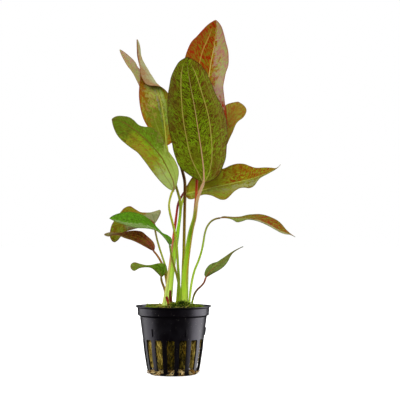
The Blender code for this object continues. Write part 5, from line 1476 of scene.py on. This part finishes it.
@dataclass
class NetPot:
    """The turned pot, its slots with rounded corners, and its nubs."""

    finish: PotFinish
    fan: int = 16  # steps along each side of a slot's pitch
    rings: int = 4
    corner: float = 0.9  # radius of the slots' corners
    slot_border: tuple = (1.6, 0.9)  # how far a slot's pitch goes above and below it
    floor_border: tuple = (0.8, 1.0)  # and outside and inside a slot of the floor
    nub_size: tuple = (0.8, 1.1)
    nub_stand: float = 0.12  # how far a nub's axis stands out of the wall

    def __post_init__(self) -> None:
        """Ease both profiles and measure the outer one."""
        self.skins = (self.eased(POT_OUTER), self.eased(POT_INNER))
        self.run = walked(self.skins[0])
        self.half_pitch = 180.0 / SLOT_COUNT
        self.slots = RIB_PHASE + (2 * np.arange(SLOT_COUNT) + 1) * self.half_pitch

    def eased(self, table: tuple) -> Array:
        """A profile with four points at each corner, on the parabola that rounds it.

        Args:
            table: The profile's corners as (radius, height).

        Returns:
            The rounded profile, (1 - t)^2 start + 2t (1 - t) corner + t^2 end at each corner.
        """
        corner = np.array(table, dtype=float)
        start, end = np.vstack([corner[:1], corner[:-1]]), np.vstack([corner[1:], corner[-1:]])
        reach = np.array(POT_EASING)[:, None]
        ends = []
        for other in (start, end):
            gap = np.linalg.norm(other - corner, axis=1, keepdims=True)
            ends.append((corner + (other - corner) * np.minimum(0.4, reach / np.maximum(gap, 1e-9)))[:, None])
        t = np.array([0.0, 0.33, 0.67, 1.0])[:, None]
        return ((1 - t) ** 2 * ends[0] + 2 * t * (1 - t) * corner[:, None] + t * t * ends[1]).reshape(-1, 2)

    def row(self, corner: int) -> float:
        """How far down the outer profile a corner of its table lies."""
        return float(np.interp(4 * corner + 1.5, np.arange(len(self.run)), self.run))

    def wall(self, angle: Array, run: Array) -> list:
        """Place points on both skins of the pot.

        Args:
            angle: Angles in degrees.
            run: How far down the outer profile the points lie.

        Returns:
            The points of the outer and of the inner skin.
        """
        rows = np.arange(len(self.run))
        index = np.interp(run, self.run, rows)
        return [polar(np.interp(index, rows, skin[:, 0]), angle, np.interp(index, rows, skin[:, 1]))
                for skin in self.skins]

    def pitch(self, centre: float, slot: tuple, patch: tuple) -> Skin:
        """One pitch of wall round one slot, as rings from the slot out to the pitch's edge.

        The slot is a rectangle whose corners are arcs: a point of the rectangle is drawn to
        the core's nearest point until it is a corner's radius away.  The rings run straight
        from it to the same point of the pitch's rectangle.

        Args:
            centre: Angle of the slot's middle.
            slot: First and last run of the slot.
            patch: First and last run of the pitch's rectangle.

        Returns:
            The wall, open on its outer edge where it meets its neighbours.
        """
        flat = np.linspace(-1.0, 1.0, self.fan + 1)[:-1]
        tall = np.sin(flat * math.pi / 2)
        one = np.ones(self.fan)
        a, b = np.concatenate([flat, one, -flat, -one]), np.concatenate([-one, tall, one, -tall])
        radius = np.linalg.norm(self.wall(0.0, slot[0])[0][:2])
        degree = math.radians(1.0) * radius
        half = np.array([SLOT_ANGLE / 2 * degree, (slot[1] - slot[0]) / 2])
        box = np.stack([a, b], axis=-1) * half
        core = np.clip(box, self.corner - half, half - self.corner)
        loop = core + unit(box - core) * self.corner
        share = np.linspace(0.0, 1.0, self.rings + 1)[:, None] ** 1.4
        angle = centre + loop[:, 0] / degree * (1 - share) + a * self.half_pitch * share
        edge = (patch[0] + patch[1]) / 2 + b * (patch[1] - patch[0]) / 2
        run = ((slot[0] + slot[1]) / 2 + loop[:, 1]) * (1 - share) + edge * share
        quads = grid_quads(self.rings + 1, len(a), True)
        return Skin.shell(*self.wall(angle, run), quads, np.arange(len(a)))

    def band(self, runs: Array, rim: bool = False, pole: bool = False) -> Skin:
        """A plain turned stretch of both skins.

        Args:
            runs: How far down the profile its rows lie.
            rim: Whether the skins are joined over its first row.
            pole: Whether each skin is closed on the axis at its last row.

        Returns:
            The stretch, open where it meets its neighbours.
        """
        share = np.linspace(-1.0, 1.0, self.fan + 1)[:-1]
        angles = (self.slots[:, None] + share * self.half_pitch).ravel()
        bar = np.arange(len(angles))
        quads = grid_quads(len(runs), len(angles), True)[:, ::-1]
        skin = Skin.shell(*self.wall(angles, runs[:, None]), quads, bar[::-1] if rim else bar[:0])
        if pole:
            last = bar[None] + (len(runs) - 1) * len(angles)
            skin.faces += [last, last[:, ::-1] + len(runs) * len(angles)]
        return skin

    def nub(self, angle: float) -> Skin:
        """A slim capsule let into the wall, its width following sqrt(1 - t^6) toward its ends.

        Args:
            angle: Where it stands.

        Returns:
            The capsule.
        """
        (low_radius, low), (high_radius, high) = POT_OUTER[4], POT_OUTER[3]
        wall = np.interp((NUB_BOTTOM, NUB_TOP), (low, high), (low_radius, high_radius)) + self.nub_stand
        foot, head = polar(wall, angle, np.array([NUB_BOTTOM + 0.3, NUB_TOP - 0.3]))
        t = np.linspace(-1.0, 1.0, 17)[:, None]
        centre = foot + (head - foot) * (t + 1) / 2
        out = np.broadcast_to(polar(1.0, angle, 0.0), centre.shape)
        size = (0.05 + np.sqrt(1 - np.abs(t) ** 6)) * self.nub_size
        return tube(centre, np.cross((0.0, 0.0, 1.0), out), out, size, 10)

    def build(self) -> list:
        """Join the turned rim, the slotted pitches, the base ring and the floor; add the nubs.

        Returns:
            The wall and the nubs.
        """
        slot = (self.row(4) + 0.1, self.row(8))
        patch = (slot[0] - self.slot_border[0], slot[1] + self.slot_border[1])
        floor_slot = (self.row(10), self.row(11))
        floor_patch = (floor_slot[0] - self.floor_border[0], floor_slot[1] + self.floor_border[1])
        upper = self.run[self.run < patch[0] - 0.1]
        ring = self.run[(self.run > patch[1] + 0.05) & (self.run < floor_patch[0] - 0.05)]
        floor = np.array([floor_patch[1], floor_patch[1] + 3.0, self.run[-1] - 0.1])
        parts = [self.band(np.append(upper, patch[0]), rim=True),
                 self.band(np.concatenate([[patch[1]], ring, [floor_patch[0]]])),
                 self.band(floor, pole=True)]
        for reach, edge in ((slot, patch), (floor_slot, floor_patch)):
            parts += [self.pitch(centre, reach, edge) for centre in self.slots]
        nubs = Skin.joined([self.nub(angle) for angle in NUB_ANGLES])
        return [Skin.joined(parts).welded().piece("pot_wall", self.finish, "pot_plastic", "net_pot", 50.0),
                nubs.piece("pot_nubs", self.finish, "pot_plastic", "net_pot")]


@dataclass
class RockwoolPlug:
    """The matted plug behind the slots: wrinkled wool with loose fibres lying on it."""

    finish: FibreFinish
    rows: int = 110
    columns: int = 320
    count: int = 900  # loose fibres
    fibre_span: tuple = (5.6, 27.0)  # heights between which they lie
    wrinkles: tuple = (2.6, 2.6, 12.0)  # wavelengths of the relief's three noises
    pits: tuple = (1.3, 1.3, 3.4)
    crevices: tuple = (3.4, 3.4, 10.0)
    seed: int = 11

    def radius(self, height: Array) -> Array:
        """The plug's radius at a height."""
        profile = np.array(PLUG_PROFILE)
        return np.interp(height, profile[:, 1], profile[:, 0])

    def painted_shade(self, angle: Array) -> Array:
        """Painted shade on the wool, from 0 to 1, in three stretches round the plug, one of them straight
        ahead.
        """
        return (0.5 + 0.5 * np.cos(np.radians(3.0 * (angle - 8.0)))) ** 0.8

    def relief(self, points: Array) -> Array:
        """Add up wrinkles, pits and the crevices where a third noise is near 0.

        Args:
            points: Points of the plug's outline.

        Returns:
            How deep the wool lies under each of them.
        """
        long = ripple(points, self.wrinkles, self.seed)
        small = ripple(points, self.pits, self.seed + 1)
        crevice = np.clip(1.0 - np.abs(ripple(points, self.crevices, self.seed + 4)) / 0.16, 0.0, 1.0)
        return np.clip(0.60 + 0.36 * long + 0.26 * small + 1.1 * crevice, 0.0, 1.9)

    def wool(self) -> Skin:
        """Sink the relief into the plug's outline; its tone carries painted shade, dark where the wool lies
        deep and in the shaded stretches, which also hold more algae.

        Returns:
            The closed surface.
        """
        height = np.linspace(PLUG_PROFILE[0][1], PLUG_PROFILE[-1][1], self.rows)[:, None]
        angle = np.arange(self.columns) * 360.0 / self.columns
        outline = polar(self.radius(height), angle, height)
        depth = self.relief(outline)
        shade_share = self.painted_shade(angle)
        light, algae = ripple(outline, 7.0, self.seed + 2), ripple(outline, 9.0, self.seed + 3)
        # painted shade: both tones darken in the shaded stretches, the second also where the wool lies deep;
        # the algae share rises in the stretches
        tone = triples(0.75 + 0.4 * light - 0.8 * shade_share, 1.2 - depth - 0.5 * shade_share,
                       0.35 + 0.35 * algae + 0.5 * shade_share)
        grid = outline - unit(outline * (1.0, 1.0, 0.0)) * depth[..., None]
        return Skin(grid, tube_faces(self.rows, self.columns), {"fibre_tone": np.clip(tone, 0.0, 1.0)})

    def fibres(self) -> Skin:
        """Lay loose fibres: lines that climb the wool, bend aside and lift off in the middle.

        Returns:
            The fibres.
        """
        even, bell = draws(np.random.default_rng(self.seed + 10), self.count)
        t = np.linspace(0.0, 1.0, 9)
        start, length, turn = even(6.0, 25.0), even(3.0, 11.0), even(0.0, 360.0)
        z = np.clip(start + length * t, *self.fibre_span)
        angle = turn + bell(0.0, 9.0) * t + bell(0.0, 6.0) * t * (1 - t)
        under = self.relief(polar(self.radius(z), angle, z))
        lift = 0.05 + 0.35 * np.sin(math.pi * t) * even(0.0, 1.0)
        radius = np.minimum(self.radius(z) - under + lift, self.radius(z) + 0.15)
        widths = (0.12 + 0.70 * even(0.0, 1.0) ** 4) * (1.0 - 0.6 * np.abs(2 * t - 1) ** 3)
        shade_share = self.painted_shade(turn)
        # loose fibres take the painted shade of the stretch they start in
        tone = triples(even(0.2, 1.2) - 0.8 * shade_share, even(0.4, 1.1) - 0.5 * shade_share, even(0.1, 0.5) + 0.3 * shade_share)
        return strands(polar(radius, angle, z), widths, tone, 4)

    def build(self) -> list:
        """Make the wool and its loose fibres as two pieces that stand for the plug's solid."""
        return [self.wool().piece("rockwool", self.finish, "rockwool", "rockwool_plug", 180.0),
                self.fibres().piece("rockwool_fibres", self.finish, "rockwool", "rockwool_plug")]


@dataclass(frozen=True)
class MossTuft:
    """A stand of moss: its middle, its reach, its height over the bed and its green."""

    x: float
    y: float
    reach: float
    depth: float
    height: float
    count: int
    tint: float
    green: float


TUFTS = (
    MossTuft(6.5, -9.5, 8.0, 4.5, 3.3, 900, 0.05, 0.25),
    MossTuft(1.5, -11.0, 4.0, 3.0, 2.8, 350, 0.10, 0.3),
    MossTuft(12.5, -11.0, 3.0, 3.0, 1.8, 220, 0.55, 0.6),
    MossTuft(-17.5, -9.0, 2.6, 4.0, 1.9, 300, 0.85, 0.7),
    MossTuft(-12.5, -11.5, 2.6, 4.0, 1.5, 260, 0.65, 0.8),
    MossTuft(18.2, -8.5, 2.4, 4.0, 2.1, 320, 0.7, 0.75),
    MossTuft(-8.5, -11.0, 3.0, 3.0, 2.0, 200, 0.6, 0.1),
    MossTuft(-4.0, -11.0, 3.0, 3.0, 2.0, 220, 0.25, 0.1),
    MossTuft(0.0, 14.0, 16.0, 5.0, 1.8, 500, 0.4, 0.6),
    MossTuft(-17.0, 6.0, 5.0, 8.0, 1.6, 260, 0.5, 0.6),
    MossTuft(18.0, 6.0, 4.5, 8.0, 1.6, 260, 0.4, 0.5),
)


@dataclass
class MossBed:
    """The uneven bed over the plug, with moss strands and dry wool fibres standing in it."""

    bed: FibreFinish
    moss: FibreFinish
    wool: FibreFinish
    rings: int = 56
    columns: int = 200
    underside: float = 46.4
    dry_count: int = 260
    dome: tuple = (2.4, 5.5, -9.0, 8.5, 3.6)  # height, middle and half widths, x then y
    lumps: tuple = ((0.70, 5.0), (0.45, 2.1))  # height and wavelength of each noise
    rim_gap: float = 0.6  # how far in from its edge the bed starts to rise
    rim_width: float = 3.4  # and how much farther in it has risen
    rim_sink: float = 1.7  # how far its rim lies under the moss's level
    rim_rise: float = 1.5
    seed: int = 31

    def level(self, x: Array, y: Array) -> Array:
        """Add up a low dome in front of the stalks and lumps, and let both fall at the rim.

        Args:
            x: Places to the right.
            y: Places to the back.

        Returns:
            The bed's height at each of them.
        """
        place = triples(x, y, 0.0)
        tall, middle_x, middle_y, wide, deep = self.dome
        hump = tall * np.exp(-(((x - middle_x) / wide) ** 2) - ((y - middle_y) / deep) ** 2)
        lumps = sum(high * ripple(place, length, self.seed + k)
                    for k, (high, length) in enumerate(self.lumps))
        risen = np.clip((MOSS_RADIUS - self.rim_gap - np.hypot(x, y)) / self.rim_width, 0.0, 1.0)
        return MOSS_LEVEL - self.rim_sink + self.rim_rise * risen + (hump + lumps) * risen

    def ground(self) -> Skin:
        """Lay rings round the axis at the level's height and close them with a flat underside.

        Returns:
            The closed bed.
        """
        share = np.linspace(0.02, 1.0, self.rings)[:, None]
        angle = np.arange(self.columns) * 360.0 / self.columns
        x, y, _ = np.moveaxis(polar(MOSS_RADIUS * share, angle, 0.0), -1, 0)
        grid = np.concatenate([triples(x, y, self.level(x, y)), triples(x[-1:], y[-1:], self.underside)])
        x, y, _ = np.moveaxis(grid, -1, 0)
        near = np.exp(-(((x + 5.0) / 7.0) ** 2) - ((y + 10.0) / 8.0) ** 2)
        light = 0.5 + 0.5 * ripple(grid, 6.0, self.seed + 2)
        # painted shade of hollows: noise at the small lumps' wavelength, read at the bed's height
        hollow_shade = 0.55 + 0.55 * ripple(grid, self.lumps[1][1], self.seed + 1)
        tone = triples(light, np.clip(hollow_shade, 0, 1), np.clip(0.75 - 0.6 * near, 0, 1))
        return Skin(grid, tube_faces(len(grid), self.columns), {"fibre_tone": tone})

    def sprigs(self, rng: Generator) -> Skin:
        """Moss strands that lean and curl out of their tufts.

        A strand's side shift is lean t + curl t (1 - t) and its height is tall t (1.25 - 0.35 t).

        Args:
            rng: Source of the random draws.

        Returns:
            The strands of every tuft.
        """
        t = np.linspace(0.0, 1.0, 6)
        paths, widths, tones = [], [], []
        for tuft in TUFTS:
            x = tuft.x + rng.normal(0.0, tuft.reach / 2, tuft.count)
            y = tuft.y + rng.normal(0.0, tuft.depth / 2, tuft.count)
            inside = np.hypot(x, y) < MOSS_RADIUS - 0.8
            x, y = x[inside, None], y[inside, None]
            even, bell = draws(rng, len(x))
            clump = ripple(triples(x, y, 0.0), 3.2, self.seed + 12)
            fade = np.exp(-(((x - tuft.x) / tuft.reach) ** 2) - ((y - tuft.y) / tuft.depth) ** 2)
            tall = tuft.height * (0.4 + 0.6 * fade) * even(0.5, 1.1) * (0.7 + 0.5 * clump).clip(0.2)
            lean, curl = (rng.normal(0.0, share, (len(x), 2)) * tall for share in (0.75, 0.45))
            px, py = (foot + lean[:, k:k + 1] * t + curl[:, k:k + 1] * t * (1 - t)
                      for k, foot in enumerate((x, y)))
            pull = np.minimum(1.0, (MOSS_RADIUS - 0.1) / np.hypot(px, py))
            rise = self.level(x, y) - 0.35 + tall * t * (1.25 - 0.35 * t)
            paths.append(triples(px * pull, py * pull, rise))
            widths.append(even(0.25, 0.75) * (0.7, 1.0, 0.75, 1.0, 0.7, 0.15))
            # painted light and shade: tips lighter, feet darker down among the strands
            light = np.clip(tuft.tint + 0.45 * clump + bell(0.0, 0.12) + 0.4 * (t - 0.5), 0, 1)
            tones.append(triples(light, 0.25 + 0.75 * t, np.clip(tuft.green + bell(0, 0.15), 0, 1)))
        return strands(np.concatenate(paths), np.concatenate(widths), np.concatenate(tones), 4)

    def dry_fibres(self, rng: Generator) -> Skin:
        """Dry wool fibres that lie on the bed, bent as 1/4 - s^2 and lifted at one end.

        Args:
            rng: Source of the random draws.

        Returns:
            The fibres.
        """
        even, bell = draws(rng, self.dry_count)
        turn = even(0.0, 2 * math.pi)
        away = MOSS_RADIUS * np.sqrt(even(0.0, 0.72))
        way, length = even(0.0, 2 * math.pi), even(1.5, 5.0)
        s = np.linspace(-0.5, 0.5, 7)
        bend = bell(0.0, 0.8) * (0.25 - s ** 2)
        x = away * np.cos(turn) + np.cos(way) * length * s - np.sin(way) * bend
        y = away * np.sin(turn) + np.sin(way) * length * s + np.cos(way) * bend
        pull = np.minimum(1.0, (MOSS_RADIUS - 0.2) / np.hypot(x, y))
        x, y = x * pull, y * pull
        path = triples(x, y, self.level(x, y) + 0.15 + even(0.0, 0.9) * (0.5 + s))
        widths = even(0.12, 0.28) * (1.0 - 0.5 * np.abs(2 * s) ** 3)
        return strands(path, widths, triples(even(0.3, 1.0), 0.8, even(0.0, 0.5)), 4)

    def build(self) -> list:
        """Make the bed, its moss and its dry fibres, which all stand for the cover's solid.

        Returns:
            The three pieces.
        """
        rng = np.random.default_rng(self.seed + 10)
        return [self.ground().piece("moss_bed", self.bed, "moss", "moss_cover", 180.0),
                self.sprigs(rng).piece("moss_sprigs", self.moss, "moss", "moss_cover"),
                self.dry_fibres(rng).piece("dry_fibres", self.wool, "moss", "moss_cover")]


@dataclass
class RootMat:
    """Roots that wander over the pot's floor under the plug and hang out through the slots."""

    finish: FibreFinish
    inner_count: int = 32
    per_lobe: int = 6
    rings: int = 11
    wall: float = 17.0  # radius of the wall's inner skin near the floor
    between: float = 17.6  # past this radius a root is between two ribs
    free: float = 19.3  # and past this one it is clear of them
    room: tuple = (11.0, 5.9)  # degrees that it may stray before the ribs and between them
    least_reach: float = 20.2  # a lobe that reaches farther has more roots
    seed: int = 51

    def inside(self, rng: Generator, t: Array) -> tuple:
        """Roots that lie on the floor: lines that wind round the axis at a changing radius.

        Args:
            rng: Source of the random draws.
            t: Shares along a root.

        Returns:
            Their lines and their widths.
        """
        even, bell = draws(rng, self.inner_count)
        angle = even(0.0, 360.0) + t * bell(0.0, 70.0)
        angle = angle + 16.0 * np.sin(t * even(6.0, 14.0) + even(0, 6))
        radius = np.clip(even(5.0, 15.5) + t * bell(1.0, 6.0), 1.0, 15.9)
        height = 3.0 + 1.4 * np.sin(t * even(4.0, 10.0) + even(0, 6))
        return polar(radius, angle, height), even(0.3, 0.7) * (1.0 - 0.5 * t ** 2)

    def through(self, rng: Generator, t: Array, slot: int, reach: float) -> tuple:
        """Roots of one slot: they come from the floor, leave between the ribs and hang or curl.

        The radius grows as t^0.8 to its reach, the angle eases toward its place in the slot,
        and past the ribs both angle and height wander freely.

        Args:
            rng: Source of the random draws.
            t: Shares along a root.
            slot: Number of the slot.
            reach: The radius that the longest of them reach.

        Returns:
            Their lines and their widths.
        """
        middle = RIB_PHASE + (slot + 0.5) * 360.0 / SLOT_COUNT
        more = 0.9 * max(0.0, reach - self.least_reach) / 2.0
        even, bell = draws(rng, int(self.per_lobe * (1.0 + more)))
        start, out = even(-11.0, 11.0), even(-5.8, 5.8)
        far = self.wall + (reach - self.wall) * even(0.2, 1.0) ** 0.7
        begin = even(11.0, 15.0)
        radius = begin + (far - begin) * np.minimum(1.0, t * 1.4) ** 0.8
        radius = np.minimum(radius - np.maximum(0.0, t - 0.7) * even(-1.0, 4.0), reach)
        swing = np.minimum(1.0, 1.6 * t * t * (3 - 2 * t))
        wide, narrow = self.room
        limit = np.where(radius > self.between, narrow, wide)
        angle = np.clip(start + (out - start) * swing, -limit, limit)
        angle = angle + bell(0.0, 7.0) * np.maximum(0.0, t - 0.6) * 2.5 * (radius > self.free)
        wave = even(0.1, 0.6) * np.sin(t * even(7.0, 18.0) + even(0, 6))
        high, low = even(1.9, 4.6), even(0.3, 4.4) * even(0.2, 1.0)
        height = high + (low - high) * np.clip((t - 0.3) / 0.7, 0, 1) ** 1.2 + wave
        widths = even(0.22, 0.7) * (1.0 - 0.65 * t ** 2.5)
        return polar(radius, middle + angle, np.maximum(height, 0.35)), widths

    def build(self) -> list:
        """Trace every root; painted shade darkens those deep inside the pot, so they are paler toward the
        outside.

        Returns:
            All the roots as the only piece.
        """
        rng = np.random.default_rng(self.seed)
        t = np.linspace(0.0, 1.0, self.rings)
        bundles = [self.inside(rng, t)]
        bundles += [self.through(rng, t, slot, reach) for slot, reach in ROOT_LOBES.items()]
        lines, widths = (np.concatenate(parts) for parts in zip(*bundles))
        light = rng.uniform(-0.6, 1.3, (len(lines), 1))
        # painted shade: the second tone grows with the radius, dark inside the pot and light past the wall
        out = np.clip(np.hypot(lines[..., 0], lines[..., 1]) / 20.0, 0, 1) ** 5
        skin = strands(lines, widths, triples(light, 0.05 + 0.95 * out + 0.3 * light, 0.2), 5)
        return [skin.piece("roots", self.finish, "roots", "root_mat")]


@dataclass
class Crown:
    """The rootstock's own solid, deep in the moss, which only takes a finish."""

    finish: FibreFinish

    def build(self) -> list:
        """Put the finish in the solid's slots.

        Returns:
            The solid itself.
        """
        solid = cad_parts["rootstock_crown"]
        material = self.finish.build("rootstock")
        for slot in solid.material_slots:
            slot.material = material
        return [solid]


# The stage


@dataclass(frozen=True)
class Softbox:
    """A rectangular light in metres that looks at the plant."""

    name: str
    place: tuple
    size: tuple
    power: float
    mirrored: bool = True  # whether glossy surfaces show it


SOFTBOXES = (
    Softbox("left softbox", (-0.80, 0.20, 0.15), (0.95, 1.10), 6.5),
    Softbox("right softbox", (0.83, 0.14, 0.15), (0.95, 1.10), 13.0),
    Softbox("front fill", (-0.15, -1.10, 0.60), (0.9, 0.7), 14.0, False),
    Softbox("top light", (0.0, 0.15, 1.0), (0.7, 0.5), 4.0),
    Softbox("back fill", (0.0, 0.95, 0.45), (0.9, 0.5), 8.0, False),
)


@dataclass
class Studio:
    """White floor and surround, softboxes and the camera."""

    surround: float = 0.16  # how brightly the surround lights the plant
    aim: tuple = (0.01, 0.0, 0.12)
    floor_radius: float = 6000.0
    floor_sides: int = 96
    floor_glow: Colour = (239, 239, 239)  # under the pot; it is white farther out
    floor_paint: Colour = (188, 188, 188)

    def light(self, box: Softbox) -> None:
        """Hang one softbox so that it looks at the plant's middle.

        Args:
            box: The softbox.
        """
        data = bpy.data.lights.new(box.name, "AREA")
        data.shape = "RECTANGLE"
        data.size, data.size_y = box.size
        data.energy = box.power
        made = new_object(box.name, data)
        made.location = box.place
        made.rotation_euler = (Vector(box.place) - Vector(self.aim)).to_track_quat("Z", "Y").to_euler()
        made.visible_glossy = box.mirrored
        made.visible_camera = False

    def world(self) -> None:
        """A white surround for the camera that lights the plant only dimly."""
        world = bpy.data.worlds.new("white surround")
        bpy.context.scene.world = world
        world.use_nodes = True
        world.node_tree.nodes.clear()
        nodes = Nodes(world.node_tree)
        dim, full = (nodes.node("ShaderNodeBackground", None, {"Color": WHITE, "Strength": power})
                     for power in (self.surround, 1.0))
        seen = nodes.node("ShaderNodeLightPath").outputs["Is Camera Ray"]
        mixed = nodes.node("ShaderNodeMixShader", None, {0: seen, 1: dim.outputs[0], 2: full.outputs[0]})
        nodes.node("ShaderNodeOutputWorld", None, {"Surface": mixed.outputs[0]})
        world.cycles_visibility.glossy = False

    def floor(self) -> None:
        """A wide white disc just under the pot, too bright for its far edge to show."""
        ring = polar(self.floor_radius, np.arange(self.floor_sides) * 360.0 / self.floor_sides, -0.02)
        mesh = bpy.data.meshes.new("floor")
        mesh.from_pydata((ring * MM).tolist(), [], [tuple(range(self.floor_sides))])
        s = Shader("floor white")
        x, y, _ = s.split(s.place())
        glow = s.layers(self.floor_glow, (WHITE, (x * x + y * y).rise(0.002, 0.04)))
        s.feed(Base_Color=self.floor_paint, Roughness=0.9, Specular_IOR_Level=0.0,
               Emission_Color=glow, Emission_Strength=1.0)
        mesh.materials.append(s.material)
        made = new_object("floor", mesh)
        made.visible_glossy = made.visible_diffuse = made.visible_shadow = False

    def camera(self) -> None:
        """The camera at the photograph's place, turned up slightly."""
        data = bpy.data.cameras.new("camera")
        data.sensor_width = SENSOR
        data.lens = SENSOR / 2 * -CAMERA_PLACE[1] / HALF_VIEW
        data.clip_end = 50.0  # metres, past the floor's far edge
        made = new_object("camera", data)
        made.location = tuple(c * MM for c in CAMERA_PLACE)
        tilt = math.atan((CAMERA_AIM_Z - CAMERA_PLACE[2]) / -CAMERA_PLACE[1])
        made.rotation_euler = (math.pi / 2 + tilt, 0.0, 0.0)
        bpy.context.scene.camera = made

    def build(self) -> None:
        """Set the stage."""
        bpy.context.scene.view_settings.view_transform = "Standard"
        self.world()
        self.floor()
        self.camera()
        for box in SOFTBOXES:
            self.light(box)


def plant() -> list:
    """List the plant's sub-assemblies: pot, plug, moss, roots, crown, leaves and stubs.

    Returns:
        The sub-assemblies in the order in which they are built.
    """
    parts = [NetPot(PotFinish()), RockwoolPlug(WOOL), MossBed(BED, MOSS, DRY), RootMat(ROOT), Crown(CROWN)]
    for leaf in LEAVES:
        name = leaf.name
        parts.append(Stalk("stalk_" + name, "petiole_" + name, leaf.stalk, STALKS[name], leaf.slot,
                           leaf.lines[1][0]))
        parts.append(Blade(leaf, BLADES[name], *RIBS[name]))
    for name, table, finish in STUBS:
        parts.append(Stalk(name, "cut_" + name, table, finish, "stub", sides=14, lobes=0.12))
    return parts


def main() -> None:
    logging.basicConfig(level=logging.INFO, format="%(name)s: %(message)s")
    Studio().build()
    for part in plant():
        for made in part.build():
            log.info("%s: %d faces", made.name, len(made.data.polygons))


if __name__ == "__main__":
    main()
